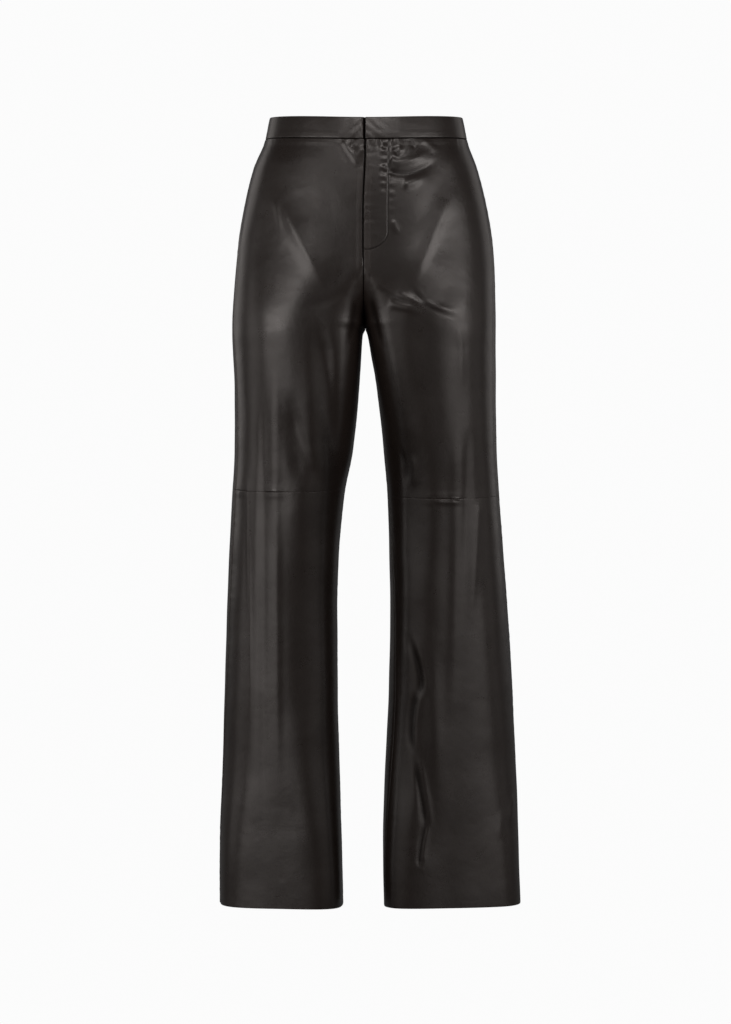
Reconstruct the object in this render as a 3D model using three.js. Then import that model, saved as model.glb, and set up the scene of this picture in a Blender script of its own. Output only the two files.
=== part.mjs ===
// Wide-leg leather trousers, filled out as they are worn, hollow and open at the waist and at both hems.
// Units are millimetres. +Z is up, the front faces -Y, and the wearer's right leg is at -X.
// The origin is the middle of the waist, halfway up the front of the waistband.
// Each leather panel is one wall between two seams, worked out from the sections below.

import * as THREE from "three";

// Driving dimensions
const LEATHER = 1.4;
const SEAM_GAP = 0.3;
const BAND_HEIGHT = 30;
const BAND_THICKNESS = 2.8;
const BAND_PROUD = 0.8;
const SIDE_RISE = 10;
const BACK_RISE = 18;
const RISE_FULL_AT = -10;
const RISE_FADES_AT = -150;
const CROTCH_Z = -262;
const FRONT_FORK = 78;
const BACK_FORK = 125;
const LEGS_MERGE_ABOVE = 140;
const LEGS_PART_BELOW = 60;
const FORK_SQUARE = 4.4;
const FORK_SQUARE_FADES = 190;
const FORK_FAN = 0.6;
const KNEE_SEAM_RISE = 8;
const HEM_Z = -1055;

// How finely the pieces are divided: shares of a length, or counts of even steps
const EDGE_STRIPS = [0, 0.015, 0.05];
const PANEL_COLUMNS = 17;
const FLY_ROWS = [0, 0.27, 0.54, 0.8];
const FORK_ROWS = 9;
const THIGH_ROWS = [0.05, 0.13, 0.25, 0.4, 0.57, 0.74, 0.88, 1];
const LOWER_ROWS = 14;
const BAND_ROWS = 3;
const BAND_COLUMNS = { frontRight: 24, frontLeft: 14, back: 28 };
const PLATE_COLUMNS = 4;
const ZIP_ROWS = 10;
const FOLD_STEPS = 10;

// The fly: the left front laps over the right front, and a zip closes it from behind
const FLY_LAP = 6;
const LAP_NARROWS_Z = -140;
const LAP_ENDS_Z = -168;
const LAP_FLAT_Z = -190;
const ZIP_TOP_Z = -19;
const ZIP_BOTTOM_Z = -160;
const ZIP_TAPE_WIDTH = 26;
const ZIP_TAPE_THICKNESS = 1;
const ZIP_COIL_WIDTH = 5;
const ZIP_COIL_HEIGHT = 1.3;
const ZIP_RAMP = [6, 9];
const ZIP_CENTRE_X = 12;

// The slider at the top of the zip, with its tab lying flat: half widths down from its top
const SLIDER_THICKNESS = 1.4;
const SLIDER_OUTLINE = table(["down", "half"], [
  [0, 2.4],
  [2, 3.5],
  [8, 3.5],
  [10, 1.8],
  [24, 2.4],
  [27, 1.4],
]);

// The waistband's hidden closure: a hook on the lapping end and a bar on the end beneath it
const UNDERLAP = 34;
const STEP_STARTS = 14;
const STEP_ENDS = 1;
const HOOK_PLATE = { width: 16, height: 12, thickness: 1 };
const HOOK_CENTRE_X = 14;

const LEATHER_COLOUR = 0x2b2827;
const TAPE_COLOUR = 0x191818;
const METAL_COLOUR = 0x8c8a86;

// Sections of each half, as seen from the front and the side. outer and inner are distances from the
// middle plane, front and back are distances from the side line, square is how far the section is from an
// ellipse (2 is an ellipse), and side_seam and inseam are how far behind the side line those seams lie.
const SECTION_COLUMNS = ["z", "outer", "inner", "front", "back", "square", "side_seam", "inseam"];
const RIGHT_SECTIONS = table(SECTION_COLUMNS, [
  [45, 127, 0, 89, 88, 2.2, 0, 0],
  [20, 132, 0, 91, 91, 2.2, 0, 0],
  [-5, 137, 0, 94, 96, 2.22, 0, 0],
  [-46, 154, 0, 99, 108, 2.28, -3, 0],
  [-102, 167, 0, 104, 124, 2.35, -12, 0],
  [-157, 176, 0, 107, 135, 2.4, -24, 0],
  [-212, 181, 0, 109, 140, 2.4, -34, 0],
  [-262, 184, 0, 109, 136, 2.35, -42, 0],
  [-272, 184, 4, 109, 134.5, 2.33, -43, 0],
  [-300, 183, 6, 108, 129, 2.3, -45, 0],
  [-350, 181, 9, 105, 119, 2.3, -46, 0],
  [-433, 181, 17, 98, 105, 2.35, -46, 0],
  [-492, 184, 29, 93, 98, 2.4, -46, 0],
  [-571, 188, 36.5, 89, 93, 2.45, -44, 0],
  [-654, 191, 39, 86, 90, 2.5, -42, -4],
  [-764, 194, 38, 84, 89, 2.6, -38, -6],
  [-875, 197, 35.5, 83, 88, 2.7, -32, -6],
  [-985, 199, 32.5, 83, 88, 2.85, -26, -4],
  [-1055, 199.5, 31, 83, 88, 3, -22, -2],
]);
const LEFT_SECTIONS = table(SECTION_COLUMNS, [
  [45, 129, 0, 89, 88, 2.2, 0, 0],
  [20, 134, 0, 91, 91, 2.2, 0, 0],
  [-5, 139, 0, 94, 96, 2.22, 0, 0],
  [-46, 154, 0, 99, 108, 2.28, -3, 0],
  [-102, 167.5, 0, 104, 124, 2.35, -12, 0],
  [-157, 176, 0, 107, 135, 2.4, -24, 0],
  [-212, 179, 0, 109, 140, 2.4, -32, 0],
  [-262, 180, 0, 109, 136, 2.35, -38, 0],
  [-272, 180, 3, 109, 134.5, 2.33, -38, 0],
  [-300, 180, 8, 108, 129, 2.3, -38, -2],
  [-350, 180, 16, 105, 119, 2.3, -36, -6],
  [-433, 181.5, 25.5, 98, 105, 2.35, -34, -14],
  [-501, 185, 30.5, 91, 97, 2.4, -30, -22],
  [-571, 190, 32.5, 86, 91, 2.45, -22, -32],
  [-654, 195.5, 34, 82, 86, 2.5, -12, -40],
  [-764, 202, 32.5, 78, 83, 2.6, 0, -44],
  [-875, 208, 27, 76, 81, 2.7, 8, -44],
  [-985, 211, 24, 75, 80, 2.85, 12, -42],
  [-1055, 213.5, 25.5, 75, 80, 3, 14, -40],
]);

const SIDES = {
  right: { sign: -1, sections: RIGHT_SECTIONS, knee: -492 },
  left: { sign: 1, sections: LEFT_SECTIONS, knee: -501 },
};

// The largest folds. Each runs through three places on one face, given by its distance across the garment
// (x on the front and back, y on a side) and its height. A negative depth is a trough and a positive one a
// ridge; fade_in and fade_out are the shares of its length over which its two ends die away. It is there
// only where the form faces that way, from the first share of FOLD_FACING up to the second.
const FOLD_FACING = [0.2, 0.5];
const FOLD_COLUMNS = [
  "face", "across_a", "z_a", "across_b", "z_b", "across_c", "z_c", "width", "depth", "fade_in", "fade_out",
];
const FOLDS = table(FOLD_COLUMNS, [
  ["front", -128, -75, -88, -150, -46, -225, 22, -3.2, 0.4, 0.5],
  ["front", 118, -78, 84, -150, 44, -226, 22, -3.4, 0.4, 0.5],
  ["front", 30, -60, 70, -60, 104, -38, 9, -2.6, 0.2, 0.5],
  ["front", 24, -226, 72, -256, 128, -268, 10, -3.6, 0.3, 0.4],
  ["front", -62, -245, -52, -370, -36, -488, 13, -4.2, 0.3, 0.3],
  ["front", -104, -345, -96, -420, -80, -488, 13, -2.4, 0.4, 0.3],
  ["front", 62, -400, 66, -520, 62, -640, 20, -3, 0.4, 0.4],
  ["front", -86, -500, -84, -700, -80, -900, 24, -3, 0.3, 0.5],
  ["front", 60, -680, 84, -900, 76, -1000, 13, -4.4, 0.4, 0.12],
  ["front", 52, -660, 58, -820, 52, -960, 10, 2.4, 0.4, 0.4],
  ["back", -34, -236, -72, -262, -120, -276, 13, -4.2, 0.25, 0.5],
  ["back", 34, -238, 76, -266, 124, -284, 13, -4.2, 0.25, 0.5],
  ["back", -60, -280, -76, -330, -128, -366, 16, -3.2, 0.35, 0.5],
  ["back", 58, -284, 80, -340, 132, -372, 16, -3.2, 0.35, 0.5],
  ["back", -84, -380, -92, -520, -90, -700, 22, -3.4, 0.35, 0.45],
  ["back", 96, -390, 100, -540, 108, -720, 22, -3.4, 0.35, 0.45],
  ["back", -126, -600, -132, -800, -138, -980, 18, -3, 0.4, 0.4],
  ["back", 150, -620, 158, -820, 162, -990, 18, -3, 0.4, 0.4],
  ["outer_right", 38, -300, 30, -420, 34, -560, 20, -3, 0.4, 0.4],
  ["outer_left", 40, -310, 34, -430, 36, -580, 20, -3, 0.4, 0.4],
]);

/** Rows of plain values as objects with named columns. */
function table(columns, rows) {
  return rows.map((row) => Object.fromEntries(columns.map((name, i) => [name, row[i]])));
}

const clamp01 = (t) => Math.min(1, Math.max(0, t));
const smoothstep = (from, to, x) => {
  const t = clamp01((x - from) / (to - from));
  return t * t * (3 - 2 * t);
};
const mix = (a, b, t) => a + (b - a) * t;

/** A column of a section table at height z, by a cubic that never overshoots its rows. */
function column(rows, name, z) {
  const last = rows.length - 1;
  if (z >= rows[0].z) return rows[0][name];
  if (z <= rows[last].z) return rows[last][name];
  const slope = (i) => (rows[i + 1][name] - rows[i][name]) / (rows[i + 1].z - rows[i].z);
  const tangent = (i) => {
    if (i === 0) return slope(0);
    if (i === last) return slope(last - 1);
    const before = slope(i - 1);
    const after = slope(i);
    return before * after <= 0 ? 0 : (2 * before * after) / (before + after);
  };
  const k = rows.findIndex((row, i) => i < last && z <= row.z && z >= rows[i + 1].z);
  const h = rows[k + 1].z - rows[k].z;
  const t = (z - rows[k].z) / h;
  const t2 = t * t;
  const t3 = t2 * t;
  return (
    (2 * t3 - 3 * t2 + 1) * rows[k][name] +
    (t3 - 2 * t2 + t) * h * tangent(k) +
    (3 * t2 - 2 * t3) * rows[k + 1][name] +
    (t3 - t2) * h * tangent(k + 1)
  );
}

/** The crotch seam's depth at height z as a share of the section's: a quarter of an ellipse under the body. */
function crotchShare(z, fork) {
  const t = clamp01((z - CROTCH_Z) / fork);
  return Math.sqrt(1 - (1 - t) ** 2);
}

/** Everything about one side's section at height z. Its inner quarters close below the crotch only. */
function sectionAt(side, z) {
  const rows = side.sections;
  const outer = column(rows, "outer", z);
  const inner = column(rows, "inner", z);
  const square = column(rows, "square", z);
  const parted = smoothstep(CROTCH_Z + LEGS_MERGE_ABOVE, CROTCH_Z - LEGS_PART_BELOW, z);
  const centre = (parted * (outer + inner)) / 2;
  const innerSquare = mix(square, FORK_SQUARE, smoothstep(CROTCH_Z - FORK_SQUARE_FADES, CROTCH_Z, z));
  const half = (fork, depth) => {
    const crotch = crotchShare(z, fork);
    const open = Math.max(1e-3, (1 - crotch ** innerSquare) ** (1 / innerSquare));
    const aboveFork = centre > 0.2 ? centre / open : outer;
    return { depth, crotch, inward: z > CROTCH_Z ? aboveFork : centre - inner };
  };
  return {
    centre,
    outward: outer - centre,
    square,
    innerSquare,
    front: half(FRONT_FORK, column(rows, "front", z)),
    back: half(BACK_FORK, column(rows, "back", z)),
    sideSeam: column(rows, "side_seam", z),
    inseam: column(rows, "inseam", z),
  };
}

/** The section's angle at a distance behind the side line, on the outer (1) or inner (-1) stretch. */
function angleAt(section, y, stretch) {
  const half = y < 0 ? section.front : section.back;
  const reach = stretch > 0 ? section.outward : half.inward;
  const n = stretch > 0 ? section.square : section.innerSquare;
  const share = Math.min(1, Math.abs(y) / half.depth);
  return Math.atan2(y, stretch * reach * (1 - share ** n) ** (1 / n));
}

/** The angle where the section meets the middle plane, at the front (-1) or the back (1). */
function middleAngle(section, end) {
  const half = end < 0 ? section.front : section.back;
  return Math.atan2(end * half.depth * half.crotch, -section.centre);
}

/** A point of the section at an angle: 0 is outermost, negative is to the front and positive to the back. */
function sectionPoint(section, angle) {
  const turned = angle > Math.PI ? angle - 2 * Math.PI : angle;
  const half = turned < 0 ? section.front : section.back;
  const c = Math.cos(turned);
  const s = Math.sin(turned);
  const reach = c > 0 ? section.outward : half.inward;
  const n = c > 0 ? section.square : section.innerSquare;
  const r = (Math.abs(c / reach) ** n + Math.abs(s / half.depth) ** n) ** (-1 / n);
  return [section.centre + r * c, r * s];
}

/** The waist is level in front and rises towards the sides and the back. */
function riseAt(angle, z) {
  const s = Math.sin(angle);
  const rise = s < 0 ? SIDE_RISE * (1 + s) : SIDE_RISE + (BACK_RISE - SIDE_RISE) * s;
  return rise * smoothstep(RISE_FADES_AT, RISE_FULL_AT, z);
}

/** The smooth form's point for a side, at an angle and a nominal height. */
function formPoint(side, angle, z) {
  const height = z + riseAt(angle, z);
  const [x, y] = sectionPoint(sectionAt(side, height), angle);
  return new THREE.Vector3(side.sign * x, y, height);
}

/** The outward normal of a surface given by a function of angle and height. */
function normalOf(surface, side, angle, z) {
  const turn = 0.02;
  const step = 1.5;
  const around = surface(side, angle + turn, z).sub(surface(side, angle - turn, z));
  const up = surface(side, angle, z + step).sub(surface(side, angle, z - step));
  return around.cross(up).multiplyScalar(side.sign).normalize();
}

/** Distance from a place to the bent line through a fold's three places, and the share of it passed. */
function alongFold(fold, across, z) {
  const at = (t) => {
    const a = (1 - t) * (1 - 2 * t);
    const b = 4 * t * (1 - t);
    const c = t * (2 * t - 1);
    return [
      a * fold.across_a + b * fold.across_b + c * fold.across_c,
      a * fold.z_a + b * fold.z_b + c * fold.z_c,
    ];
  };
  let best = { distance: Infinity, share: 0 };
  for (let i = 0; i < FOLD_STEPS; i++) {
    const [x0, z0] = at(i / FOLD_STEPS);
    const [x1, z1] = at((i + 1) / FOLD_STEPS);
    const length2 = (x1 - x0) ** 2 + (z1 - z0) ** 2;
    const t = clamp01(((across - x0) * (x1 - x0) + (z - z0) * (z1 - z0)) / length2);
    const distance = Math.hypot(across - x0 - t * (x1 - x0), z - z0 - t * (z1 - z0));
    if (distance < best.distance) best = { distance, share: (i + t) / FOLD_STEPS };
  }
  return best;
}

/** How far the folds push the form out at a point with that outward normal. */
function foldDepth(point, normal) {
  let depth = 0;
  for (const fold of FOLDS) {
    const facing = {
      front: -normal.y,
      back: normal.y,
      outer_right: -normal.x,
      outer_left: normal.x,
    }[fold.face];
    if (facing <= FOLD_FACING[0]) continue;
    const across = fold.face.startsWith("outer") ? point.y : point.x;
    const { distance, share } = alongFold(fold, across, point.z);
    const ends = smoothstep(0, fold.fade_in, share) * smoothstep(0, fold.fade_out, 1 - share);
    const facesIt = smoothstep(...FOLD_FACING, facing);
    depth += fold.depth * ends * facesIt * Math.exp(-((distance / fold.width) ** 2));
  }
  return depth;
}

/** The garment's outer surface: the smooth form with its folds. */
function clothPoint(side, angle, z) {
  const point = formPoint(side, angle, z);
  const normal = normalOf(formPoint, side, angle, z);
  return point.addScaledVector(normal, foldDepth(point, normal));
}

/** A point of the waist and fly, at a distance across the front from the middle plane, moved out. */
function middlePoint(x, z, out) {
  const side = x < 0 ? SIDES.right : SIDES.left;
  const section = sectionAt(side, z);
  const across = Math.abs(x) - section.centre;
  const reach = across > 0 ? section.outward : section.front.inward;
  const n = across > 0 ? section.square : section.innerSquare;
  const y = -section.front.depth * (1 - Math.abs(across / reach) ** n) ** (1 / n);
  const angle = Math.atan2(y, across);
  return clothPoint(side, angle, z).addScaledVector(normalOf(formPoint, side, angle, z), out);
}

/** Moves the first or last row (or column) of a grid of points towards its neighbour. */
function pullEdge(grid, edge, distance) {
  const rows = grid.length;
  const cols = grid[0].length;
  const pairs = {
    top: (k) => [grid[0][k], grid[1][k]],
    bottom: (k) => [grid[rows - 1][k], grid[rows - 2][k]],
    start: (k) => [grid[k][0], grid[k][1]],
    end: (k) => [grid[k][cols - 1], grid[k][cols - 2]],
  }[edge];
  const count = edge === "top" || edge === "bottom" ? cols : rows;
  for (let k = 0; k < count; k++) {
    const [own, next] = pairs(k);
    own.addScaledVector(next.clone().sub(own).normalize(), distance);
  }
}

/** A closed wall between an outer grid and an inner grid of points, with its faces pointing out. */
function wallGeometry(outer, inner, flipped) {
  const rows = outer.length;
  const cols = outer[0].length;
  const points = [...outer.flat(), ...inner.flat()];
  const faces = [];
  const triangle = (a, b, c) => faces.push(...(flipped ? [a, c, b] : [a, b, c]));
  const quad = (a, b, c, d) => {
    if (points[a].distanceTo(points[c]) <= points[b].distanceTo(points[d])) {
      triangle(a, b, c);
      triangle(a, c, d);
    } else {
      triangle(a, b, d);
      triangle(b, c, d);
    }
  };
  const o = (i, j) => i * cols + j;
  const n = (i, j) => rows * cols + i * cols + j;
  for (let i = 0; i < rows - 1; i++) {
    for (let j = 0; j < cols - 1; j++) {
      quad(o(i, j), o(i + 1, j), o(i + 1, j + 1), o(i, j + 1));
      quad(n(i, j), n(i, j + 1), n(i + 1, j + 1), n(i + 1, j));
    }
    quad(o(i, 0), n(i, 0), n(i + 1, 0), o(i + 1, 0));
    quad(o(i, cols - 1), o(i + 1, cols - 1), n(i + 1, cols - 1), n(i, cols - 1));
  }
  for (let j = 0; j < cols - 1; j++) {
    quad(o(0, j), o(0, j + 1), n(0, j + 1), n(0, j));
    quad(o(rows - 1, j), n(rows - 1, j), n(rows - 1, j + 1), o(rows - 1, j + 1));
  }
  const geometry = new THREE.BufferGeometry().setFromPoints(points);
  geometry.setIndex(faces);
  geometry.computeVertexNormals();
  return geometry;
}

/** Heights of an upper panel's rows at the side and at its inner edge, where they fan out round the crotch. */
function upperRows(side, face) {
  const fork = face === "front" ? FRONT_FORK : BACK_FORK;
  const waist = -BAND_HEIGHT / 2;
  const level = (z) => ({ z, edgeZ: z });
  const fly = FLY_ROWS.map((share) => level(mix(waist, LAP_NARROWS_Z, share)));
  const flyEnd = [LAP_NARROWS_Z, LAP_ENDS_Z, LAP_FLAT_Z].map(level);
  const turn = Math.asin(crotchShare(LAP_FLAT_Z, fork));
  const crotch = Array.from({ length: FORK_ROWS }, (_, i) => {
    const passed = (i + 1) / FORK_ROWS;
    return {
      z: mix(LAP_FLAT_Z, CROTCH_Z, passed),
      edgeZ: CROTCH_Z + fork * (1 - Math.cos(turn * (1 - passed))),
    };
  });
  const thigh = THIGH_ROWS.map((share) => level(mix(CROTCH_Z, side.knee, share)));
  return [...fly, ...flyEnd, ...crotch, ...thigh];
}

/** Heights of a lower panel's rows, level from the knee seam to the hem. */
function lowerRows(side) {
  return Array.from({ length: LOWER_ROWS + 1 }, (_, i) => {
    const z = mix(side.knee, HEM_Z, i / LOWER_ROWS);
    return { z, edgeZ: z };
  });
}

/** How far the right front slips beneath the left front beside the fly, and how deep. */
function lapAt(z) {
  return {
    reach: FLY_LAP * smoothstep(LAP_ENDS_Z, LAP_NARROWS_Z, z),
    depth: (LEATHER + SEAM_GAP) * smoothstep(LAP_FLAT_Z, LAP_ENDS_Z, z),
  };
}

/** The knee seam is level in front and a little higher behind. */
function kneeRise(angle) {
  return KNEE_SEAM_RISE * (1 + Math.sin(angle));
}

/** Shares of the way from a panel's inner edge to its side seam: two narrow strips first, then wider ones. */
function columnShares(isUpper) {
  const strips = isUpper ? EDGE_STRIPS : [0];
  const first = strips.at(-1);
  const rest = Array.from({ length: PANEL_COLUMNS }, (_, k) => mix(first, 1, (k + 1) / PANEL_COLUMNS));
  return [...strips, ...rest];
}

/** One leather panel of a leg: its front or back, above or below the knee seam. */
function panelGeometry(side, face, part) {
  const isUpper = part === "upper";
  const end = face === "front" ? -1 : 1;
  const shares = columnShares(isUpper);
  const rows = isUpper ? upperRows(side, face) : lowerRows(side);
  const farthest = isUpper ? CROTCH_Z : HEM_Z;
  const laps = isUpper && face === "front" && side.sign < 0;
  const outer = [];
  const inner = [];
  for (const { z: nominal, edgeZ } of rows) {
    const lap = laps ? lapAt(nominal) : { reach: 0, depth: 0 };
    const rise = riseAt((end * Math.PI) / 2, nominal);
    const section = sectionAt(side, nominal + rise);
    const edgeSection = sectionAt(side, edgeZ + rise);
    const seam = angleAt(section, section.sideSeam, 1);
    const inseam = angleAt(section, Math.min(section.inseam, -1e-9), -1) + (end < 0 ? 0 : 2 * Math.PI);
    const edge = nominal > CROTCH_Z ? middleAngle(edgeSection, end) : inseam;
    const nearKnee = smoothstep(farthest, side.knee, nominal);
    const outerRow = [];
    const innerRow = [];
    shares.forEach((share, k) => {
      const angle = mix(edge, seam, lap.reach > 0 && k === 1 ? 0 : share);
      const z = mix(edgeZ, nominal, smoothstep(0, FORK_FAN, share)) + kneeRise(angle) * nearKnee;
      const lapped = lap.reach > 0 && k === 0;
      const point = lapped ? middlePoint(lap.reach, nominal, 0) : clothPoint(side, angle, z);
      const normal = lapped ? new THREE.Vector3(0, -1, 0) : normalOf(clothPoint, side, angle, z);
      if (k < 2) point.addScaledVector(normal, -lap.depth);
      outerRow.push(point);
      innerRow.push(point.clone().addScaledVector(normal, -LEATHER));
    });
    outer.push(outerRow);
    inner.push(innerRow);
  }
  for (const grid of [outer, inner]) {
    for (const place of isUpper ? ["top", "bottom", "start", "end"] : ["top", "start", "end"]) {
      pullEdge(grid, place, SEAM_GAP / 2);
    }
    keepToSide(grid, side, (row) => laps && lapAt(rows[row].z).reach > 0);
  }
  return wallGeometry(outer, inner, side.sign > 0 === (face === "back"));
}

/** Keeps every point its half of the seam gap away from the middle plane, apart from rows that lap. */
function keepToSide(grid, side, lapping) {
  grid.forEach((row, i) => {
    if (lapping(i)) return;
    for (const point of row) point.x = side.sign * Math.max(side.sign * point.x, SEAM_GAP / 2);
  });
}

const SIDE_TURN = 0.25;
const HALF_TURN = 0.5;

/** A stretch of waistband from one place round the waist to another, in turns leftwards from the front. */
function bandGeometry(from, to, count, outAt) {
  const outer = [];
  const inner = [];
  for (let i = 0; i <= BAND_ROWS; i++) {
    const z = mix(BAND_HEIGHT / 2, -BAND_HEIGHT / 2 + SEAM_GAP / 2, i / BAND_ROWS);
    const outerRow = [];
    const innerRow = [];
    for (let k = 0; k <= count; k++) {
      const turn = mix(from, to, k / count);
      const place = turn > HALF_TURN ? turn - 1 : turn;
      const side = place < 0 ? SIDES.right : SIDES.left;
      const angle = Math.abs(place) * 2 * Math.PI - Math.PI / 2;
      const point = formPoint(side, angle, z);
      const normal = normalOf(formPoint, side, angle, z);
      normal.z = 0;
      normal.normalize();
      const out = outAt(turn);
      outerRow.push(point.clone().addScaledVector(normal, out));
      innerRow.push(point.clone().addScaledVector(normal, out - BAND_THICKNESS));
    }
    outer.push(outerRow);
    inner.push(innerRow);
  }
  for (const grid of [outer, inner]) {
    pullEdge(grid, "start", SEAM_GAP / 2);
    pullEdge(grid, "end", SEAM_GAP / 2);
  }
  return wallGeometry(outer, inner, false);
}

const bandInside = BAND_PROUD - BAND_THICKNESS;
const hookOut = bandInside - SEAM_GAP;
const barOut = hookOut - HOOK_PLATE.thickness - SEAM_GAP;
const underlapOut = barOut - HOOK_PLATE.thickness - SEAM_GAP;

/** The right end of the waistband steps back beside the centre front and runs on behind the left end. */
function rightBandGeometry() {
  const depth = sectionAt(SIDES.left, 0).front.depth;
  const turnsTo = (distance) => distance / depth / (2 * Math.PI);
  const outAt = (turn) => mix(BAND_PROUD, underlapOut, smoothstep(-turnsTo(STEP_STARTS), -turnsTo(STEP_ENDS), turn));
  return bandGeometry(-SIDE_TURN, turnsTo(UNDERLAP), BAND_COLUMNS.frontRight, outAt);
}

/** A small plate that follows the waist, moved out (or in) from the form. */
function plateGeometry(centreX, centreZ, out, size) {
  const outer = [];
  const inner = [];
  for (const end of [0.5, -0.5]) {
    const outerRow = [];
    const innerRow = [];
    for (let k = 0; k <= PLATE_COLUMNS; k++) {
      const x = centreX + size.width * (k / PLATE_COLUMNS - 0.5);
      const z = centreZ + size.height * end;
      outerRow.push(middlePoint(x, z, out));
      innerRow.push(middlePoint(x, z, out - size.thickness));
    }
    outer.push(outerRow);
    inner.push(innerRow);
  }
  return wallGeometry(outer, inner, false);
}

const coilOut = -2 * (LEATHER + SEAM_GAP);
const tapeOut = coilOut - ZIP_COIL_HEIGHT;
const leftTapeOut = -LEATHER - SEAM_GAP;

/** The zip's tape, with the closed coil standing on it. It lies behind both fronts, so its left half steps out. */
function zipGeometry() {
  const half = ZIP_TAPE_WIDTH / 2;
  const coil = ZIP_COIL_WIDTH / 2;
  const profile = table(["across", "front", "back"], [
    [-half, tapeOut, tapeOut],
    [-coil - 1, tapeOut, tapeOut],
    [-coil, coilOut, tapeOut],
    [coil, coilOut, tapeOut],
    [coil + 1, tapeOut, tapeOut],
    [ZIP_RAMP[0], tapeOut, tapeOut],
    [ZIP_RAMP[1], leftTapeOut, leftTapeOut],
    [half, leftTapeOut, leftTapeOut],
  ]);
  const outer = [];
  const inner = [];
  for (let i = 0; i <= ZIP_ROWS; i++) {
    const z = mix(ZIP_TOP_Z, ZIP_BOTTOM_Z, i / ZIP_ROWS);
    outer.push(profile.map(({ across, front }) => middlePoint(ZIP_CENTRE_X + across, z, front)));
    inner.push(
      profile.map(({ across, back }) => middlePoint(ZIP_CENTRE_X + across, z, back - ZIP_TAPE_THICKNESS)),
    );
  }
  return wallGeometry(outer, inner, false);
}

/** The slider and its tab, one flat piece on the coil behind the left front. */
function sliderGeometry() {
  const front = leftTapeOut;
  const outer = [];
  const inner = [];
  for (const { down, half } of SLIDER_OUTLINE) {
    const places = [-half, 0, half].map((across) => [ZIP_CENTRE_X + across, ZIP_TOP_Z - down]);
    outer.push(places.map(([x, z]) => middlePoint(x, z, front)));
    inner.push(places.map(([x, z]) => middlePoint(x, z, front - SLIDER_THICKNESS)));
  }
  return wallGeometry(outer, inner, false);
}

const leather = new THREE.MeshStandardMaterial({ color: LEATHER_COLOUR, roughness: 0.38, metalness: 0 });
const tape = new THREE.MeshStandardMaterial({ color: TAPE_COLOUR, roughness: 0.8, metalness: 0 });
const metal = new THREE.MeshStandardMaterial({ color: METAL_COLOUR, roughness: 0.35, metalness: 0.9 });

const trousers = new THREE.Group();
const add = (name, geometry, material) => {
  const mesh = new THREE.Mesh(geometry, material);
  mesh.name = name;
  trousers.add(mesh);
};

for (const [name, side] of Object.entries(SIDES)) {
  for (const face of ["front", "back"]) {
    for (const part of ["upper", "lower"]) {
      add(`${face}_${part}_${name}`, panelGeometry(side, face, part), leather);
    }
  }
}
add("waistband_front_right", rightBandGeometry(), leather);
add("waistband_front_left", bandGeometry(0, SIDE_TURN, BAND_COLUMNS.frontLeft, () => BAND_PROUD), leather);
add("waistband_back", bandGeometry(SIDE_TURN, 1 - SIDE_TURN, BAND_COLUMNS.back, () => BAND_PROUD), leather);
add("fly_zip", zipGeometry(), tape);
add("zip_slider", sliderGeometry(), metal);
add("waist_hook", plateGeometry(HOOK_CENTRE_X, 0, hookOut, HOOK_PLATE), metal);
add("waist_bar", plateGeometry(HOOK_CENTRE_X, 0, barOut, HOOK_PLATE), metal);

export default trousers;
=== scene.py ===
"""Wide-leg leather trousers, filled out as they are worn, hollow and open at the waist and at both hems.

The leather panels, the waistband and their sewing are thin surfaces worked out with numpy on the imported
frame. Sizes are in millimetres, unless a name ends in _m, and every mesh is written in metres. +Z is up, the
front faces -Y and the wearer's right leg is at -X. The origin is the middle of the waist.
"""

from __future__ import annotations

import logging
import math
from dataclasses import dataclass, field
from enum import Enum

import bmesh
import bpy
import numpy as np
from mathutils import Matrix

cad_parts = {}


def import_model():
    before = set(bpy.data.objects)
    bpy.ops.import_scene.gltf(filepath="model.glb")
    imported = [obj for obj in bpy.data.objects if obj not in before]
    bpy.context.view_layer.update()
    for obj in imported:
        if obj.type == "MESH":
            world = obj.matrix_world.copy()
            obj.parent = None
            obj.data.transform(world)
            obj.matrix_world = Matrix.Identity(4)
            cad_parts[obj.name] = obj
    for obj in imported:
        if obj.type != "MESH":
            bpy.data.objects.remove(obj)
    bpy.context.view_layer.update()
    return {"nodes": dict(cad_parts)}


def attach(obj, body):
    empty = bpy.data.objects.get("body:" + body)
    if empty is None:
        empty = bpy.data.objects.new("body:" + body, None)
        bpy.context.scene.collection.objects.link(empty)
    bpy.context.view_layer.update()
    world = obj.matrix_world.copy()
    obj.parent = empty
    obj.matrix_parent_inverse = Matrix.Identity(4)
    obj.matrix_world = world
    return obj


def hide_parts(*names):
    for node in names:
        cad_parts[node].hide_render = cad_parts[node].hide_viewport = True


logging.basicConfig(level=logging.INFO, format="%(message)s")
log = logging.getLogger("trousers")

MM = 0.001
BODY = "root"
LEVEL = (1.0, 1.0, 0.0)

# Small values that keep divisions and roots sound
TINY_LENGTH = 1e-12
TINY_DEPTH = 1e-9
TINY_SHARE = 1e-6
LEAST_OPENING = 1e-3
LEAST_CENTRE = 0.2

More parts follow.
